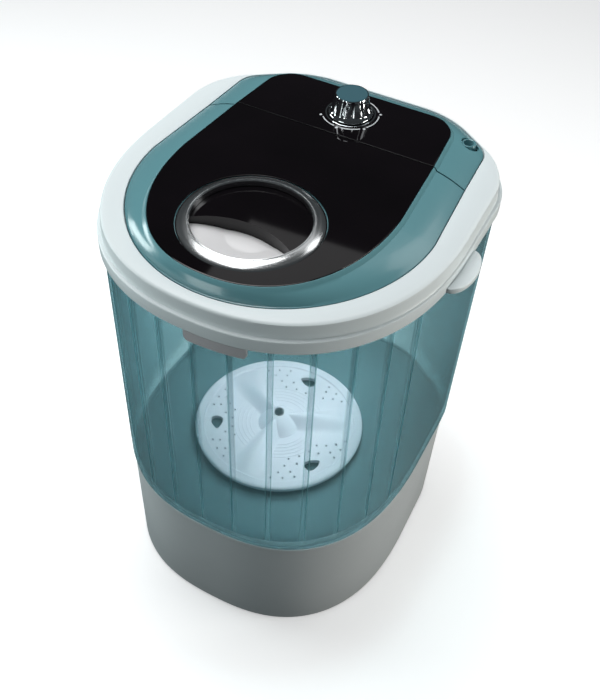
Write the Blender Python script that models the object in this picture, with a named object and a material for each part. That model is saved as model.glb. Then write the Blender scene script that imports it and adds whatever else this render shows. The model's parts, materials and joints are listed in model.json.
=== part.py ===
"""A mini top-load washing machine: a clear ribbed wash tub between a grey motor base and a white
collar that carries a hinged lid, a control deck with a clockwork timer, and a belt-driven pulsator.

Metres, +Z up, front towards -Y. The origin is on the floor under the middle of the machine.
"""

from math import acos, atan2, cos, hypot, pi, radians, sin, tan

import bmesh
import bpy
from mathutils import Matrix, Vector

# ---------------------------------------------------------------- driving dimensions
GAP = 0.0004                 # between pieces that rest on or fit in each other
FLOOR_TO_BASE = 0.003        # the base's lower edge above the floor
BASE_TOP = 0.162             # rim that the tub stands in
BASE_DECK = 0.1585           # upper side of the deck over the motor room
BASE_DECK_UNDER = 0.1555
TUB_FLOOR = 0.1665
TUB_TOP = 0.5105
TUB_WALL = 0.0026
FLANGE_BOTTOM = 0.499
FLANGE_TOP = 0.515
COLLAR_TOP = 0.533
LEDGE_TOP = 0.5205           # the collar's inner ledge, under lid and control deck
SKIRT_BOTTOM = 0.5225        # lower edge of the lid's and the deck's skirts
DECK_EDGE = 0.5325           # teal edge, where lid and deck meet the collar
PANEL_TOP = 0.548            # black gloss panels
PANEL = 0.0015               # their thickness
PANEL_SEAT = PANEL_TOP - PANEL - GAP
HOOD_WALL = 0.0023           # wall of the lid frame and the control deck
LID_GAP = 0.0012             # round the lid, and between lid and deck
SPLIT_Y = 0.0965             # middle of the gap between lid and deck
LID_BACK_Y = SPLIT_Y - LID_GAP / 2
DECK_FRONT_Y = SPLIT_Y + LID_GAP / 2
HINGE_Y = LID_BACK_Y - 0.008
HINGE_Z = PANEL_TOP - 0.005
HINGE_X = 0.104              # middle of each hinge
HINGE_PIN_R = 0.0015
PIN_HOLE_R = HINGE_PIN_R + 0.0003
SPIN_Y = -0.005              # pulsator axis, at x = 0
MOTOR_Y = 0.083              # motor axis, at x = 0
HANDLE_Y = -0.0746           # middle of the lid's round handle
RING_R = 0.0728
RING_BORE_R = 0.0627
SCOOP_EDGE_Y = -0.075        # rear edge of the finger scoop at x = 0
SCOOP_EDGE_R = 0.0873
KNOB_Y = 0.141
KNOB_TOP = 0.573
KNOB_BOTTOM = 0.549
INLET_X, INLET_Y = 0.1285, 0.170
PULSATOR_R = 0.106
PULSATOR_BOTTOM = 0.1695
VANE_TURN = radians(30)      # direction of the first of the three vanes
SHAFT_R = 0.004
BORE_R = SHAFT_R + 0.0003
BELT_Z = 0.104               # middle of the belt
DRIVEN_R = 0.040
MOTOR_PULLEY_R = 0.0145
GROOVE_DEPTH = 0.0045
BELT_HALF = 0.0018           # half the thickness of the belt
DRAIN_X, DRAIN_Y = -0.085, 0.135
DRAIN_EXIT_Z = 0.045         # middle of the drain spigot at the rear
DRAIN_PIPE_R = 0.0105
DRAIN_BORE_R = 0.0080
DUCT_Y = 0.184
DUCT_X_HALF, DUCT_Y_HALF = 0.0220, 0.0080
BOX_FLOOR = 0.4875           # underside of the control box
CORD_X, CORD_Z = 0.085, 0.060
GLAND_R = 0.0065
FOOT_X, FOOT_Y = 0.115, 0.105
EAR_Y, EAR_HALF = 0.011, 0.034
EAR_REACH = 0.0175
BADGE_LEFT, BADGE_RIGHT = -0.006, 0.058
BADGE_LOW = 0.4855

FRONT_STEPS = 11             # points on each front quarter of an outline
SPINS = 28                   # sides of a large round piece


# ---------------------------------------------------------------- outlines seen from above
class Outline:
    """A D-shaped outline: an elliptic front, sides that narrow a little, chamfered rear corners."""

    def __init__(self, half, front, power, middle_y, split_x, side, rear, rear_y):
        self.half, self.front, self.power, self.middle_y = half, front, power, middle_y
        self.split_x, self.side, self.rear, self.rear_y = split_x, side, rear, rear_y

    def grown(self, by):
        side_x, side_y, side_r = self.side
        rear_x, rear_r = self.rear
        return Outline(
            self.half + by, self.front - by, self.power, self.middle_y, self.split_x + by,
            (side_x + by, side_y + 0.35 * by, max(side_r + by, 0.004)),
            (rear_x + 0.35 * by, max(rear_r + by, 0.004)), self.rear_y + by,
        )

    def front_half(self, end_y):
        """Right side, from the front's middle to the side at end_y."""
        points = []
        reach = self.middle_y - self.front
        for step in range(FRONT_STEPS + 1):
            turn = pi / 2 * step / FRONT_STEPS
            across = self.half * sin(turn) ** (2 / self.power)
            along = reach * max(cos(turn), 0.0) ** (2 / self.power)
            points.append((across, self.middle_y - along))
        points.append((self.side_x_at(end_y), end_y))
        return points

    def half_width_at(self, y):
        """Half width anywhere from the front to the side's corner."""
        if y > self.middle_y:
            return self.side_x_at(y)
        share = (self.middle_y - y) / (self.middle_y - self.front)
        return self.half * (1 - share ** self.power) ** (1 / self.power)

    def front_y_at(self, x):
        """How far forward the front reaches beside the middle line."""
        share = (1 - (abs(x) / self.half) ** self.power) ** (1 / self.power)
        return self.middle_y - (self.middle_y - self.front) * share

    def side_x_at(self, y):
        """Half width on the narrowing side, behind the widest place."""
        share = (y - self.middle_y) / (SPLIT_Y - self.middle_y)
        if y <= SPLIT_Y:
            return self.half + (self.split_x - self.half) * share
        share = (y - SPLIT_Y) / (self.side[1] - SPLIT_Y)
        return self.split_x + (self.side[0] - self.split_x) * share

    def rear_half(self, start_y):
        """Right side, from the side at start_y round both corners to the rear's middle."""
        start = (self.side_x_at(start_y), start_y)
        corner = self.side[:2]
        rear = (self.rear[0], self.rear_y)
        points = [start]
        points += fillet(start, corner, rear, self.side[2], 4)
        points += fillet(corner, rear, (0.0, self.rear_y), self.rear[1], 3)
        return points + [(0.0, self.rear_y)]

    def loop(self):
        """The whole closed outline, counter-clockwise from the front's middle."""
        right = self.front_half(SPLIT_Y) + self.rear_half(SPLIT_Y)[1:]
        return right + [(-x, y) for x, y in reversed(right[1:-1])]

    def front_chain(self, end_y):
        right = self.front_half(end_y)
        return [(-x, y) for x, y in reversed(right[1:])] + right

    def rear_chain(self, start_y):
        right = self.rear_half(start_y)
        return right + [(-x, y) for x, y in reversed(right[:-1])]


def fillet(before, corner, after, radius, steps):
    """Points of the arc that rounds a corner between two straight runs."""
    here = Vector(corner)
    a = (Vector(before) - here).normalized()
    b = (Vector(after) - here).normalized()
    half = a.angle(b) / 2
    run = min(radius / tan(half), 0.45 * (Vector(after) - here).length)
    centre = here + (a + b).normalized() * (run / cos(half))
    start = here + a * run - centre
    end = here + b * run - centre
    sweep = start.angle_signed(end)
    return [tuple(centre + Matrix.Rotation(-sweep * k / steps, 2) @ start) for k in range(steps + 1)]


TEAL = Outline(0.1600, -0.1713, 2.0, 0.000, 0.1530, (0.1490, 0.1705, 0.030), (0.0890, 0.100), 0.2150)
BLACK = Outline(0.1232, -0.1620, 2.22, 0.000, 0.1167, (0.1100, 0.1650, 0.030), (0.0920, 0.030), 0.1840)
COLLAR = Outline(0.1856, -0.1863, 2.25, 0.020, 0.1835, (0.1820, 0.1490, 0.085), (0.0900, 0.100), 0.2185)
FLANGE = Outline(0.1885, -0.1910, 2.28, 0.020, 0.1880, (0.1885, 0.1540, 0.090), (0.0925, 0.100), 0.2235)
RIM = Outline(0.1775, -0.1785, 2.50, 0.020, 0.1765, (0.1750, 0.1450, 0.085), (0.0850, 0.100), 0.2100)
HEM = Outline(0.1760, -0.1775, 2.50, 0.020, 0.1735, (0.1710, 0.1440, 0.085), (0.0840, 0.100), 0.2070)
TUB_LOW = Outline(0.1810, -0.1830, 2.40, 0.020, 0.1800, (0.1785, 0.1480, 0.085), (0.0870, 0.100), 0.2130)
TUB_HIGH = FLANGE.grown(-0.0038)
OPENING = TEAL.grown(-0.008)
ORIGIN_Y = -(FLANGE.front + FLANGE.rear_y) / 2


# ---------------------------------------------------------------- scene helpers
def clear_scene():
    for item in list(bpy.data.objects):
        bpy.data.objects.remove(item, do_unlink=True)


def material(name, colour, roughness, metallic=0.0, alpha=1.0):
    made = bpy.data.materials.new(name)
    made.use_nodes = True
    shader = made.node_tree.nodes["Principled BSDF"]
    shader.inputs["Base Color"].default_value = (*colour, 1.0)
    shader.inputs["Roughness"].default_value = roughness
    shader.inputs["Metallic"].default_value = metallic
    shader.inputs["Alpha"].default_value = alpha
    return made


def empty(name, location, parent=None):
    made = bpy.data.objects.new(name, None)
    made.location = location
    made.parent = parent
    bpy.context.scene.collection.objects.link(made)
    return made


def add(name, mesh_maker, finish, parent, at=(0.0, 0.0, 0.0), turn=None, sharp=35):
    """Make one piece: its mesh is centred on its own origin, which is placed under a parent."""
    shape = bmesh.new()
    mesh_maker(shape)
    bmesh.ops.recalc_face_normals(shape, faces=shape.faces)
    mesh = bpy.data.meshes.new(name)
    shape.to_mesh(mesh)
    shape.free()
    mesh.shade_smooth()
    mesh.set_sharp_from_angle(angle=radians(sharp))
    made = bpy.data.objects.new(name, mesh)
    made.location = at
    if turn:
        made.rotation_euler = turn
    made.parent = parent
    if finish:
        mesh.materials.append(finish)
    bpy.context.scene.collection.objects.link(made)
    return made


def boolean(target, operation, name, mesh_maker, at=(0.0, 0.0, 0.0), turn=None):
    """Cut or join a hidden helper shape, placed like the pieces are."""
    helper = add(name, mesh_maker, None, target.parent, at, turn)
    helper.hide_render = True
    helper.display_type = "WIRE"
    step = target.modifiers.new(name, "BOOLEAN")
    step.operation = operation
    step.object = helper
    step.solver = "EXACT"


# ---------------------------------------------------------------- mesh makers
def ring_of(shape, points):
    return [shape.verts.new(point) for point in points]


def level(points, z):
    return [(x, y, z) for x, y in points]


def bridge(shape, first, second, closed=True):
    count = len(first)
    for i in range(count if closed else count - 1):
        j = (i + 1) % count
        shape.faces.new((first[i], first[j], second[j], second[i]))


def lofted(loops):
    """A ring-shaped body: each closed loop is joined to the next, and the last to the first."""
    def make(shape):
        rings = [ring_of(shape, loop) for loop in loops]
        for here, there in zip(rings, rings[1:] + rings[:1]):
            bridge(shape, here, there)
    return make


def stacked(loops):
    """A solid body: loops joined in turn and closed by a flat face at each end."""
    def make(shape):
        rings = [ring_of(shape, loop) for loop in loops]
        for here, there in zip(rings, rings[1:]):
            bridge(shape, here, there)
        shape.faces.new(rings[0])
        shape.faces.new(rings[-1])
    return make


def circle(radius, count=SPINS):
    turns = [2 * pi * k / count for k in range(count)]
    return [(radius * cos(t), radius * sin(t)) for t in turns]


def hexagon(radius, count):
    """Points round a hexagon, in the same directions as a circle's points."""
    turns = [2 * pi * k / count for k in range(count)]
    reach = [radius * cos(pi / 6) / cos(t % (pi / 3) - pi / 6) for t in turns]
    return [(r * cos(t), r * sin(t)) for r, t in zip(reach, turns)]


def turned(profile, count=SPINS):
    """A turned body. The profile is (radius, height) pairs. Ends on the axis close the body there."""
    def make(shape):
        solid = profile[0][0] == 0.0
        rings = []
        for radius, z in profile:
            if radius == 0.0:
                rings.append([shape.verts.new((0.0, 0.0, z))])
            else:
                rings.append(ring_of(shape, level(circle(radius, count), z)))
        pairs = list(zip(rings, rings[1:]))
        if not solid:
            pairs.append((rings[-1], rings[0]))
        for here, there in pairs:
            if len(here) == 1 or len(there) == 1:
                tip, rim = (here[0], there) if len(here) == 1 else (there[0], here)
                for i in range(count):
                    shape.faces.new((tip, rim[i], rim[(i + 1) % count]))
            else:
                bridge(shape, here, there)
    return make


def tube(outer, inner, low, high, count=SPINS):
    return turned([(inner, low), (outer, low), (outer, high), (inner, high)], count)


def rod(radius, low, high, count=SPINS):
    return turned([(0.0, low), (radius, low), (radius, high), (0.0, high)], count)


def prism(points, low, high):
    return stacked([level(points, low), level(points, high)])


def block(low, high):
    (x0, y0, z0), (x1, y1, z1) = low, high
    return prism([(x0, y0), (x1, y0), (x1, y1), (x0, y1)], z0, z1)


def blocks(boxes):
    """Several separate boxes in one helper."""
    def make(shape):
        for low, high in boxes:
            block(low, high)(shape)
    return make


def rounded_rectangle(half_x, half_y, radius, steps=3, centre=(0.0, 0.0)):
    points = []
    corners = ((1, 1, 0), (-1, 1, 90), (-1, -1, 180), (1, -1, 270))
    for side_x, side_y, first in corners:
        for k in range(steps + 1):
            turn = radians(first + 90 * k / steps)
            points.append((
                centre[0] + side_x * (half_x - radius) + radius * cos(turn),
                centre[1] + side_y * (half_y - radius) + radius * sin(turn),
            ))
    return points


def swept(path, outer, inner, count=12):
    """A hollow pipe along a path in the YZ plane, open at both ends."""
    def make(shape):
        walls = [[], []]
        for i, here in enumerate(path):
            ahead = Vector(path[min(i + 1, len(path) - 1)]) - Vector(path[max(i - 1, 0)])
            ahead.normalize()
            over = Vector((1, 0, 0)).cross(ahead)
            for wall, radius in zip(walls, (outer, inner)):
                wall.append(ring_of(shape, [
                    Vector(here) + radius * (Vector((cos(t), 0, 0)) + over * sin(t))
                    for t in [2 * pi * k / count for k in range(count)]
                ]))
        for wall in walls:
            for here, there in zip(wall, wall[1:]):
                bridge(shape, here, there)
        bridge(shape, walls[0][0], walls[1][0])
        bridge(shape, walls[0][-1], walls[1][-1])
    return make


def around(loop, radius, centre):
    """A circle whose points lie in the same directions as an outline's points."""
    turns = [atan2(y - centre[1], x - centre[0]) for x, y in loop]
    return [(centre[0] + radius * cos(t), centre[1] + radius * sin(t)) for t in turns]


# ---------------------------------------------------------------- base and motor room
def base_shell_shape():
    axis = (0.0, SPIN_Y)
    rim = RIM.loop()
    step = RIM.grown(-0.0045).loop()
    return lofted([
        level(HEM.grown(-0.003).loop(), FLOOR_TO_BASE),
        level(HEM.grown(-0.0008).loop(), FLOOR_TO_BASE),
        level(HEM.loop(), FLOOR_TO_BASE + 0.001),
        level(rim, BASE_TOP - 0.002),
        level(RIM.grown(-0.001).loop(), BASE_TOP),
        level(step, BASE_TOP),
        level(step, BASE_DECK),
        level(around(step, 0.030, axis), BASE_DECK),
        level(around(step, 0.030, axis), BASE_DECK_UNDER),
        level(RIM.grown(-0.008).loop(), BASE_DECK_UNDER),
        level(RIM.grown(-0.003).loop(), BASE_DECK_UNDER - 0.006),
    ])


def make_base(root, paint):
    base = add("base_shell", base_shell_shape(), paint["base"], root)
    boolean(base, "DIFFERENCE", "cut_drain_way", rod(DRAIN_PIPE_R + 0.001, 0.150, 0.165, 20),
            (DRAIN_X, DRAIN_Y, 0.0))
    boolean(base, "DIFFERENCE", "cut_wire_way", block((-0.017, -0.004, 0.150), (0.017, 0.004, 0.165)),
            (0.0, DUCT_Y, 0.0))
    boolean(base, "DIFFERENCE", "cut_drain_exit", rod(DRAIN_PIPE_R + GAP, 0.0, 0.08, 20),
            (DRAIN_X, 0.16, DRAIN_EXIT_Z), (-pi / 2, 0, 0))
    boolean(base, "DIFFERENCE", "cut_cord_exit", rod(GLAND_R + GAP, 0.0, 0.08, 20),
            (CORD_X, 0.16, CORD_Z), (-pi / 2, 0, 0))

    cover = add("bottom_cover", prism(HEM.grown(-0.0036).loop(), 0.0036, 0.0061), paint["under"], root)
    slots = []
    for row in range(5):
        y = MOTOR_Y - 0.020 + 0.010 * row
        slots.append(((-0.030, y - 0.002, 0.0), (0.030, y + 0.002, 0.010)))
    boolean(cover, "DIFFERENCE", "cut_vents", blocks(slots))
    for number, (side_x, side_y) in enumerate(((1, -1), (-1, -1), (1, 1), (-1, 1)), 1):
        at = (side_x * FOOT_X, side_y * FOOT_Y, 0.0)
        boolean(cover, "DIFFERENCE", f"cut_foot_{number}", rod(0.0039, -0.001, 0.010, 16), at)
        add(f"foot_{number}", turned([
            (0.0, 0.0), (0.0112, 0.0), (0.0120, 0.0012), (0.0112, 0.0032),
            (0.0035, 0.0032), (0.0035, 0.0100), (0.0, 0.0112),
        ], 20), paint["rubber"], root, at)
        spot = (side_x * 0.060, side_y * 0.148 + 0.004, 0.0)
        boolean(cover, "DIFFERENCE", f"cut_cover_screw_{number}", rod(0.0024, -0.001, 0.010, 12), spot)
        add(f"cover_screw_{number}", turned([
            (0.0, 0.0012), (0.0036, 0.0016), (0.0040, 0.0032), (0.0020, 0.0032), (0.0020, 0.0110),
            (0.0, 0.0125),
        ], 12), paint["steel"], root, spot)

    add("cord_gland", turned([
        (0.0036, 0.0), (GLAND_R, 0.0), (GLAND_R, 0.0110), (0.0100, 0.0110), (0.0085, 0.0150),
        (0.0060, 0.0160), (0.0036, 0.0160),
    ], 20), paint["rubber"], root, (CORD_X, 0.2005, CORD_Z), (-pi / 2, 0, 0))


def bend(start, corner, end, radius, steps):
    """Points of a pipe run with one bend, in three dimensions."""
    here = Vector(corner)
    a = (Vector(start) - here).normalized()
    b = (Vector(end) - here).normalized()
    centre = here + (a + b) * radius
    arc = []
    for k in range(steps + 1):
        turn = pi / 2 * k / steps
        arc.append(tuple(centre - b * radius * cos(turn) - a * radius * sin(turn)))
    return [start] + arc + [end]


def make_drain_and_wiring(root, paint):
    corner = (0.0, 0.0, DRAIN_EXIT_Z)
    path = bend((0.0, 0.0, BASE_DECK_UNDER), corner, (0.0, 0.087, DRAIN_EXIT_Z), 0.020, 5)
    add("drain_pipe", swept(path, DRAIN_PIPE_R, DRAIN_BORE_R), paint["under"], root,
        (DRAIN_X, DRAIN_Y, 0.0))
    grille = add("drain_grille", rod(0.0170, TUB_FLOOR + GAP, TUB_FLOOR + 0.0028, 24), paint["pulsator"],
                 root, (DRAIN_X, DRAIN_Y, 0.0))
    bars = [((-0.0125 + 0.005 * k, -0.009, 0.16), (-0.0100 + 0.005 * k, 0.009, 0.18)) for k in range(5)]
    boolean(grille, "DIFFERENCE", "cut_grille", blocks(bars), (DRAIN_X, DRAIN_Y, 0.0))
    outside = rounded_rectangle(DUCT_X_HALF, DUCT_Y_HALF, 0.003)
    inside = rounded_rectangle(DUCT_X_HALF - 0.002, DUCT_Y_HALF - 0.002, 0.002)
    low, high = TUB_FLOOR + GAP, BOX_FLOOR - GAP
    add("wiring_duct", lofted([level(outside, low), level(outside, high), level(inside, high),
                               level(inside, low)]), paint["white"], root, (0.0, DUCT_Y, 0.0))
    add("wire_harness", rod(0.0025, 0.125, 0.500, 8), paint["rubber"], root, (0.0, DUCT_Y, 0.0))


def belt_path(steps=8):
    """Centre line of the belt round both pulleys, seen from above, counter-clockwise."""
    big, small = DRIVEN_R - BELT_HALF, MOTOR_PULLEY_R - BELT_HALF
    reach = MOTOR_Y - SPIN_Y
    lean = atan2(big - small, (reach ** 2 - (big - small) ** 2) ** 0.5)
    points = []
    for k in range(steps + 1):
        turn = lean + (pi - 2 * lean) * k / steps
        points.append((small * cos(turn), MOTOR_Y + small * sin(turn)))
    for k in range(2 * steps + 1):
        turn = pi - lean + (pi + 2 * lean) * k / (2 * steps)
        points.append((big * cos(turn), SPIN_Y + big * sin(turn)))
    return points


def offset_path(points, by):
    """A closed path moved outward by a distance."""
    moved = []
    for i, (x, y) in enumerate(points):
        before, after = points[i - 1], points[(i + 1) % len(points)]
        along = Vector((after[0] - before[0], after[1] - before[1])).normalized()
        moved.append((x + along.y * by, y - along.x * by))
    return moved


def make_drive(root, spinner, rotor, paint):
    add("bearing_housing", turned([
        (0.0085, 0.1180), (0.0130, 0.1180), (0.0130, 0.1490), (0.0450, 0.1500), (0.0450, 0.1550),
        (0.0125, 0.1550), (0.0125, 0.1680), (0.0110, 0.1680), (0.0110, 0.1620), (0.0085, 0.1620),
    ], 20), paint["zinc"], root, (0.0, SPIN_Y, 0.0))
    add("upper_bush", tube(0.0081, BORE_R, 0.1500, 0.1610, 24), paint["brass"], root, (0.0, SPIN_Y, 0.0))
    add("lower_bush", tube(0.0081, BORE_R, 0.1190, 0.1300, 24), paint["brass"], root, (0.0, SPIN_Y, 0.0))
    add("shaft_seal", tube(0.0106, BORE_R, 0.1624, 0.1676, 24), paint["rubber"], root, (0.0, SPIN_Y, 0.0))
    for number in range(3):
        turn = radians(90 + 120 * number)
        spot = (0.038 * cos(turn), SPIN_Y + 0.038 * sin(turn), 0.0)
        add(f"housing_screw_{number + 1}", turned([
            (0.0, 0.1462), (0.0040, 0.1470), (0.0040, 0.1494), (0.0, 0.1496),
        ], 12), paint["steel"], root, spot)

    add("pulsator_shaft", turned([
        (0.0, 0.0885), (SHAFT_R, 0.0885), (SHAFT_R, 0.1735), (0.0023, 0.1735), (0.0023, 0.1635),
        (0.0, 0.1635),
    ], 24), paint["steel"], spinner)
    add("circlip", tube(0.0072, BORE_R, 0.1164, 0.1175, 20), paint["steel"], spinner)
    add("driven_pulley", grooved_pulley(DRIVEN_R), paint["under"], spinner)
    bore, flats = circle(BORE_R, 24), hexagon(0.0074, 24)
    add("pulley_nut", lofted([
        level(bore, 0.0930), level(flats, 0.0930), level(flats, 0.0974), level(bore, 0.0974),
    ]), paint["steel"], spinner)

    belt = belt_path()
    outside, inside = offset_path(belt, BELT_HALF), offset_path(belt, -BELT_HALF)
    add("drive_belt", lofted([
        level(outside, BELT_Z - 0.0026), level(outside, BELT_Z + 0.0026),
        level(inside, BELT_Z + 0.0014), level(inside, BELT_Z - 0.0014),
    ]), paint["rubber"], root)

    at = (0.0, MOTOR_Y, 0.0)
    add("motor_stator", tube(0.0360, 0.0225, 0.0520, 0.0840, 20), paint["zinc"], root, at)
    add("motor_end_top", turned([
        (BORE_R, 0.0905), (BORE_R, 0.0935), (0.0300, 0.0935), (0.0352, 0.0905), (0.0352, 0.0844),
        (0.0320, 0.0844), (0.0290, 0.0905),
    ], 20), paint["zinc"], root, at)
    add("motor_end_bottom", turned([
        (BORE_R, 0.0425), (0.0300, 0.0425), (0.0352, 0.0455), (0.0352, 0.0516),
        (0.0320, 0.0516), (0.0290, 0.0455), (BORE_R, 0.0455),
    ], 20), paint["zinc"], root, at)
    add("motor_rotor", turned([
        (0.0, 0.0290), (SHAFT_R, 0.0290), (SHAFT_R, 0.0540), (0.0218, 0.0540), (0.0218, 0.0820),
        (SHAFT_R, 0.0820), (SHAFT_R, 0.1130), (0.0, 0.1130),
    ], 24), paint["steel"], rotor)
    add("motor_pulley", grooved_pulley(MOTOR_PULLEY_R), paint["zinc"], rotor)
    fan = add("motor_fan", turned([
        (BORE_R, 0.0310), (0.0080, 0.0310), (0.0080, 0.0370), (0.0280, 0.0370), (0.0280, 0.0390),
        (BORE_R, 0.0390),
    ], 24), paint["under"], rotor)
    for number in range(8):
        turn = 2 * pi * number / 8
        boolean(fan, "UNION", f"fan_blade_{number + 1}",
                block((0.0075, -0.0007, 0.0315), (0.0275, 0.0007, 0.0375)),
                (0.0, 0.0, 0.0), (0, 0, turn))

    bracket = add("motor_bracket", tube(0.0620, 0.0200, 0.0939, 0.0964, 20), paint["zinc"], root, at)
    for number, (x, y) in enumerate(((0.052, 0.020), (-0.052, 0.020), (0.048, -0.028), (-0.048, -0.028))):
        boolean(bracket, "UNION", f"bracket_post_{number + 1}",
                rod(0.0060, 0.0945, BASE_DECK_UNDER - GAP, 12), (x, MOTOR_Y + y, 0.0))
    add("capacitor", turned([
        (0.0, 0.0960), (0.0140, 0.0960), (0.0155, 0.0975), (0.0155, 0.1520), (0.0, 0.1530),
    ], 24), paint["under"], root, (-0.100, 0.020, 0.0))
    add("capacitor_clamp", tube(0.0180, 0.0159, 0.1200, 0.1320, 24), paint["steel"], root,
        (-0.100, 0.020, 0.0))


def grooved_pulley(radius):
    half = 0.0060
    return turned([
        (BORE_R, BELT_Z - half), (radius, BELT_Z - half), (radius, BELT_Z - 0.0036),
        (radius - GROOVE_DEPTH, BELT_Z - 0.0021), (radius - GROOVE_DEPTH, BELT_Z + 0.0021),
        (radius, BELT_Z + 0.0036), (radius, BELT_Z + half), (BORE_R, BELT_Z + half),
    ], 24)


# ---------------------------------------------------------------- tub and pulsator
def make_tub(root, paint):
    axis = (0.0, SPIN_Y)
    sill = RIM.grown(-0.0050).loop()
    outside = [
        level(sill, BASE_DECK + GAP),
        level(sill, BASE_TOP + 0.0008),
        level(RIM.grown(-0.0006).loop(), BASE_TOP + 0.0008),
        level(TUB_LOW.grown(-0.0012).loop(), 0.170),
        level(TUB_LOW.loop(), 0.180),
        level(TUB_HIGH.loop(), TUB_TOP),
    ]
    inside = [
        level(TUB_HIGH.grown(-TUB_WALL).loop(), TUB_TOP),
        level(TUB_LOW.grown(-TUB_WALL).loop(), 0.186),
        level(TUB_LOW.grown(-0.0060).loop(), 0.173),
        level(TUB_LOW.grown(-0.0150).loop(), TUB_FLOOR),
        level(around(sill, 0.0130, axis), TUB_FLOOR),
        level(around(sill, 0.0130, axis), TUB_FLOOR - 0.0030),
        level(RIM.grown(-0.0110).loop(), TUB_FLOOR - 0.0035),
        level(RIM.grown(-0.0080).loop(), BASE_DECK + GAP),
    ]
    tub = add("wash_tub", lofted(outside + inside), paint["tub"], root)
    boolean(tub, "DIFFERENCE", "cut_tub_drain", rod(0.0110, 0.150, 0.175, 20), (DRAIN_X, DRAIN_Y, 0.0))
    boolean(tub, "DIFFERENCE", "cut_tub_wires", block((-0.017, -0.004, 0.150), (0.017, 0.004, 0.175)),
            (0.0, DUCT_Y, 0.0))


def pulsator_height(radius, turn):
    """Height of the pulsator's upper side over its disc: a rim, a dome and three round vanes."""
    share = radius / PULSATOR_R
    dish = 0.0030 * share ** 2
    dome = 0.0200 * max(0.0, 1 - (radius / 0.030) ** 2)
    away = abs((turn - VANE_TURN + pi / 3) % (2 * pi / 3) - pi / 3) * radius
    width = 0.009 + 0.010 * share
    vane = 0.0170 * (1 - share ** 3) * max(0.0, 1 - (away / width) ** 2)
    return 0.0040 + dish + max(dome, vane)


def pulsator_shape(shape):
    count = 36
    radii = [0.0043, 0.012, 0.022, 0.032, 0.045, 0.060, 0.076, 0.092, 0.104]
    top = []
    for radius in radii:
        turns = [2 * pi * k / count for k in range(count)]
        top.append(ring_of(shape, [
            (radius * cos(t), radius * sin(t), PULSATOR_BOTTOM + pulsator_height(radius, t))
            for t in turns
        ]))
    rim = ring_of(shape, level(circle(PULSATOR_R, count), PULSATOR_BOTTOM + 0.0050))
    foot = ring_of(shape, level(circle(PULSATOR_R - 0.001, count), PULSATOR_BOTTOM))
    bore = ring_of(shape, level(circle(0.0043, count), PULSATOR_BOTTOM))
    rings = top + [rim, foot, bore, top[0]]
    for here, there in zip(rings, rings[1:]):
        bridge(shape, here, there)


def make_pulsator(spinner, paint):
    add("pulsator", pulsator_shape, paint["pulsator"], spinner)
    peak = PULSATOR_BOTTOM + pulsator_height(0.0043, 0.0) + GAP
    add("pulsator_screw", turned([
        (0.0, 0.1645), (0.0019, 0.1650), (0.0019, peak), (0.0062, peak), (0.0060, peak + 0.0018),
        (0.0030, peak + 0.0026), (0.0, peak + 0.0026),
    ], 20), paint["steel"], spinner)


# ---------------------------------------------------------------- collar
def between(first, second, share):
    return [(a[0] + (b[0] - a[0]) * share, a[1] + (b[1] - a[1]) * share) for a, b in zip(first, second)]


def collar_shape():
    inner = TEAL.grown(LID_GAP).loop()
    outer = COLLAR.loop()
    room = [hypot(a[0] - b[0], a[1] - b[1]) for a, b in zip(inner, outer)]
    pocket_low = TUB_TOP + 0.0008
    pocket_high = [pocket_low + 0.018 * min(1.0, max(0.08, (r - 0.004) / 0.010)) for r in room]
    pocket_outer = between(inner, outer, 0.82)
    pocket_inner = between(inner, outer, 0.18)

    def raised(points, heights):
        return [(x, y, z) for (x, y), z in zip(points, heights)]

    return lofted([
        level(inner, COLLAR_TOP - 0.0005),
        level(between(inner, outer, 0.87), COLLAR_TOP),
        level(outer, COLLAR_TOP - 0.0028),
        level(COLLAR.grown(0.0008).loop(), FLANGE_TOP + 0.0015),
        level(FLANGE.grown(-0.0015).loop(), FLANGE_TOP),
        level(FLANGE.loop(), FLANGE_TOP - 0.0018),
        level(FLANGE.loop(), FLANGE_BOTTOM + 0.0012),
        level(FLANGE.grown(-0.0010).loop(), FLANGE_BOTTOM),
        level(FLANGE.grown(-0.0030).loop(), FLANGE_BOTTOM),
        level(FLANGE.grown(-0.0030).loop(), pocket_low),
        level(pocket_outer, pocket_low),
        raised(pocket_outer, pocket_high),
        raised(pocket_inner, pocket_high),
        level(pocket_inner, pocket_low),
        level(OPENING.loop(), pocket_low),
        level(OPENING.loop(), LEDGE_TOP),
        level(inner, LEDGE_TOP),
    ])


def ear_outline(side):
    """A round-nosed carry ear, rooted in the flange's wall."""
    turns = [pi * k / 12 for k in range(13)]
    along = [EAR_Y - EAR_HALF * cos(turn) for turn in turns]
    root_x = [FLANGE.half_width_at(y) - 0.0015 for y in along]
    nose = [(side * (x + EAR_REACH * sin(turn) ** 0.8), y) for x, y, turn in zip(root_x, along, turns)]
    return nose + [(side * root_x[k], along[k]) for k in (9, 6, 3)]


def make_collar(root, paint):
    collar = add("top_collar", collar_shape(), paint["white"], root)
    for side, word in ((1, "right"), (-1, "left")):
        low, high = FLANGE_BOTTOM + 0.0004, FLANGE_BOTTOM + 0.0068
        boolean(collar, "UNION", f"ear_{word}", prism(ear_outline(side), low, high))
    boolean(collar, "DIFFERENCE", "cut_inlet_way", rod(0.0092, 0.505, LEDGE_TOP + 0.0015, 24),
            (INLET_X, INLET_Y, 0.0))

    inner, outer = TUB_HIGH.grown(0.0006), TUB_HIGH.grown(0.0030)
    rounding = (0.0040, 0.0010, 0.0, 0.0, 0.0)
    rows = []
    for k in range(9):
        x = BADGE_LEFT + (BADGE_RIGHT - BADGE_LEFT) * k / 8
        low, high = BADGE_LOW + rounding[min(k, 8 - k)], FLANGE_BOTTOM - GAP
        front, back = outer.front_y_at(x), inner.front_y_at(x)
        rows.append([(x, front, low), (x, front, high), (x, back, high), (x, back, low)])
    add("badge", stacked(rows), paint["silver"], root)


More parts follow.
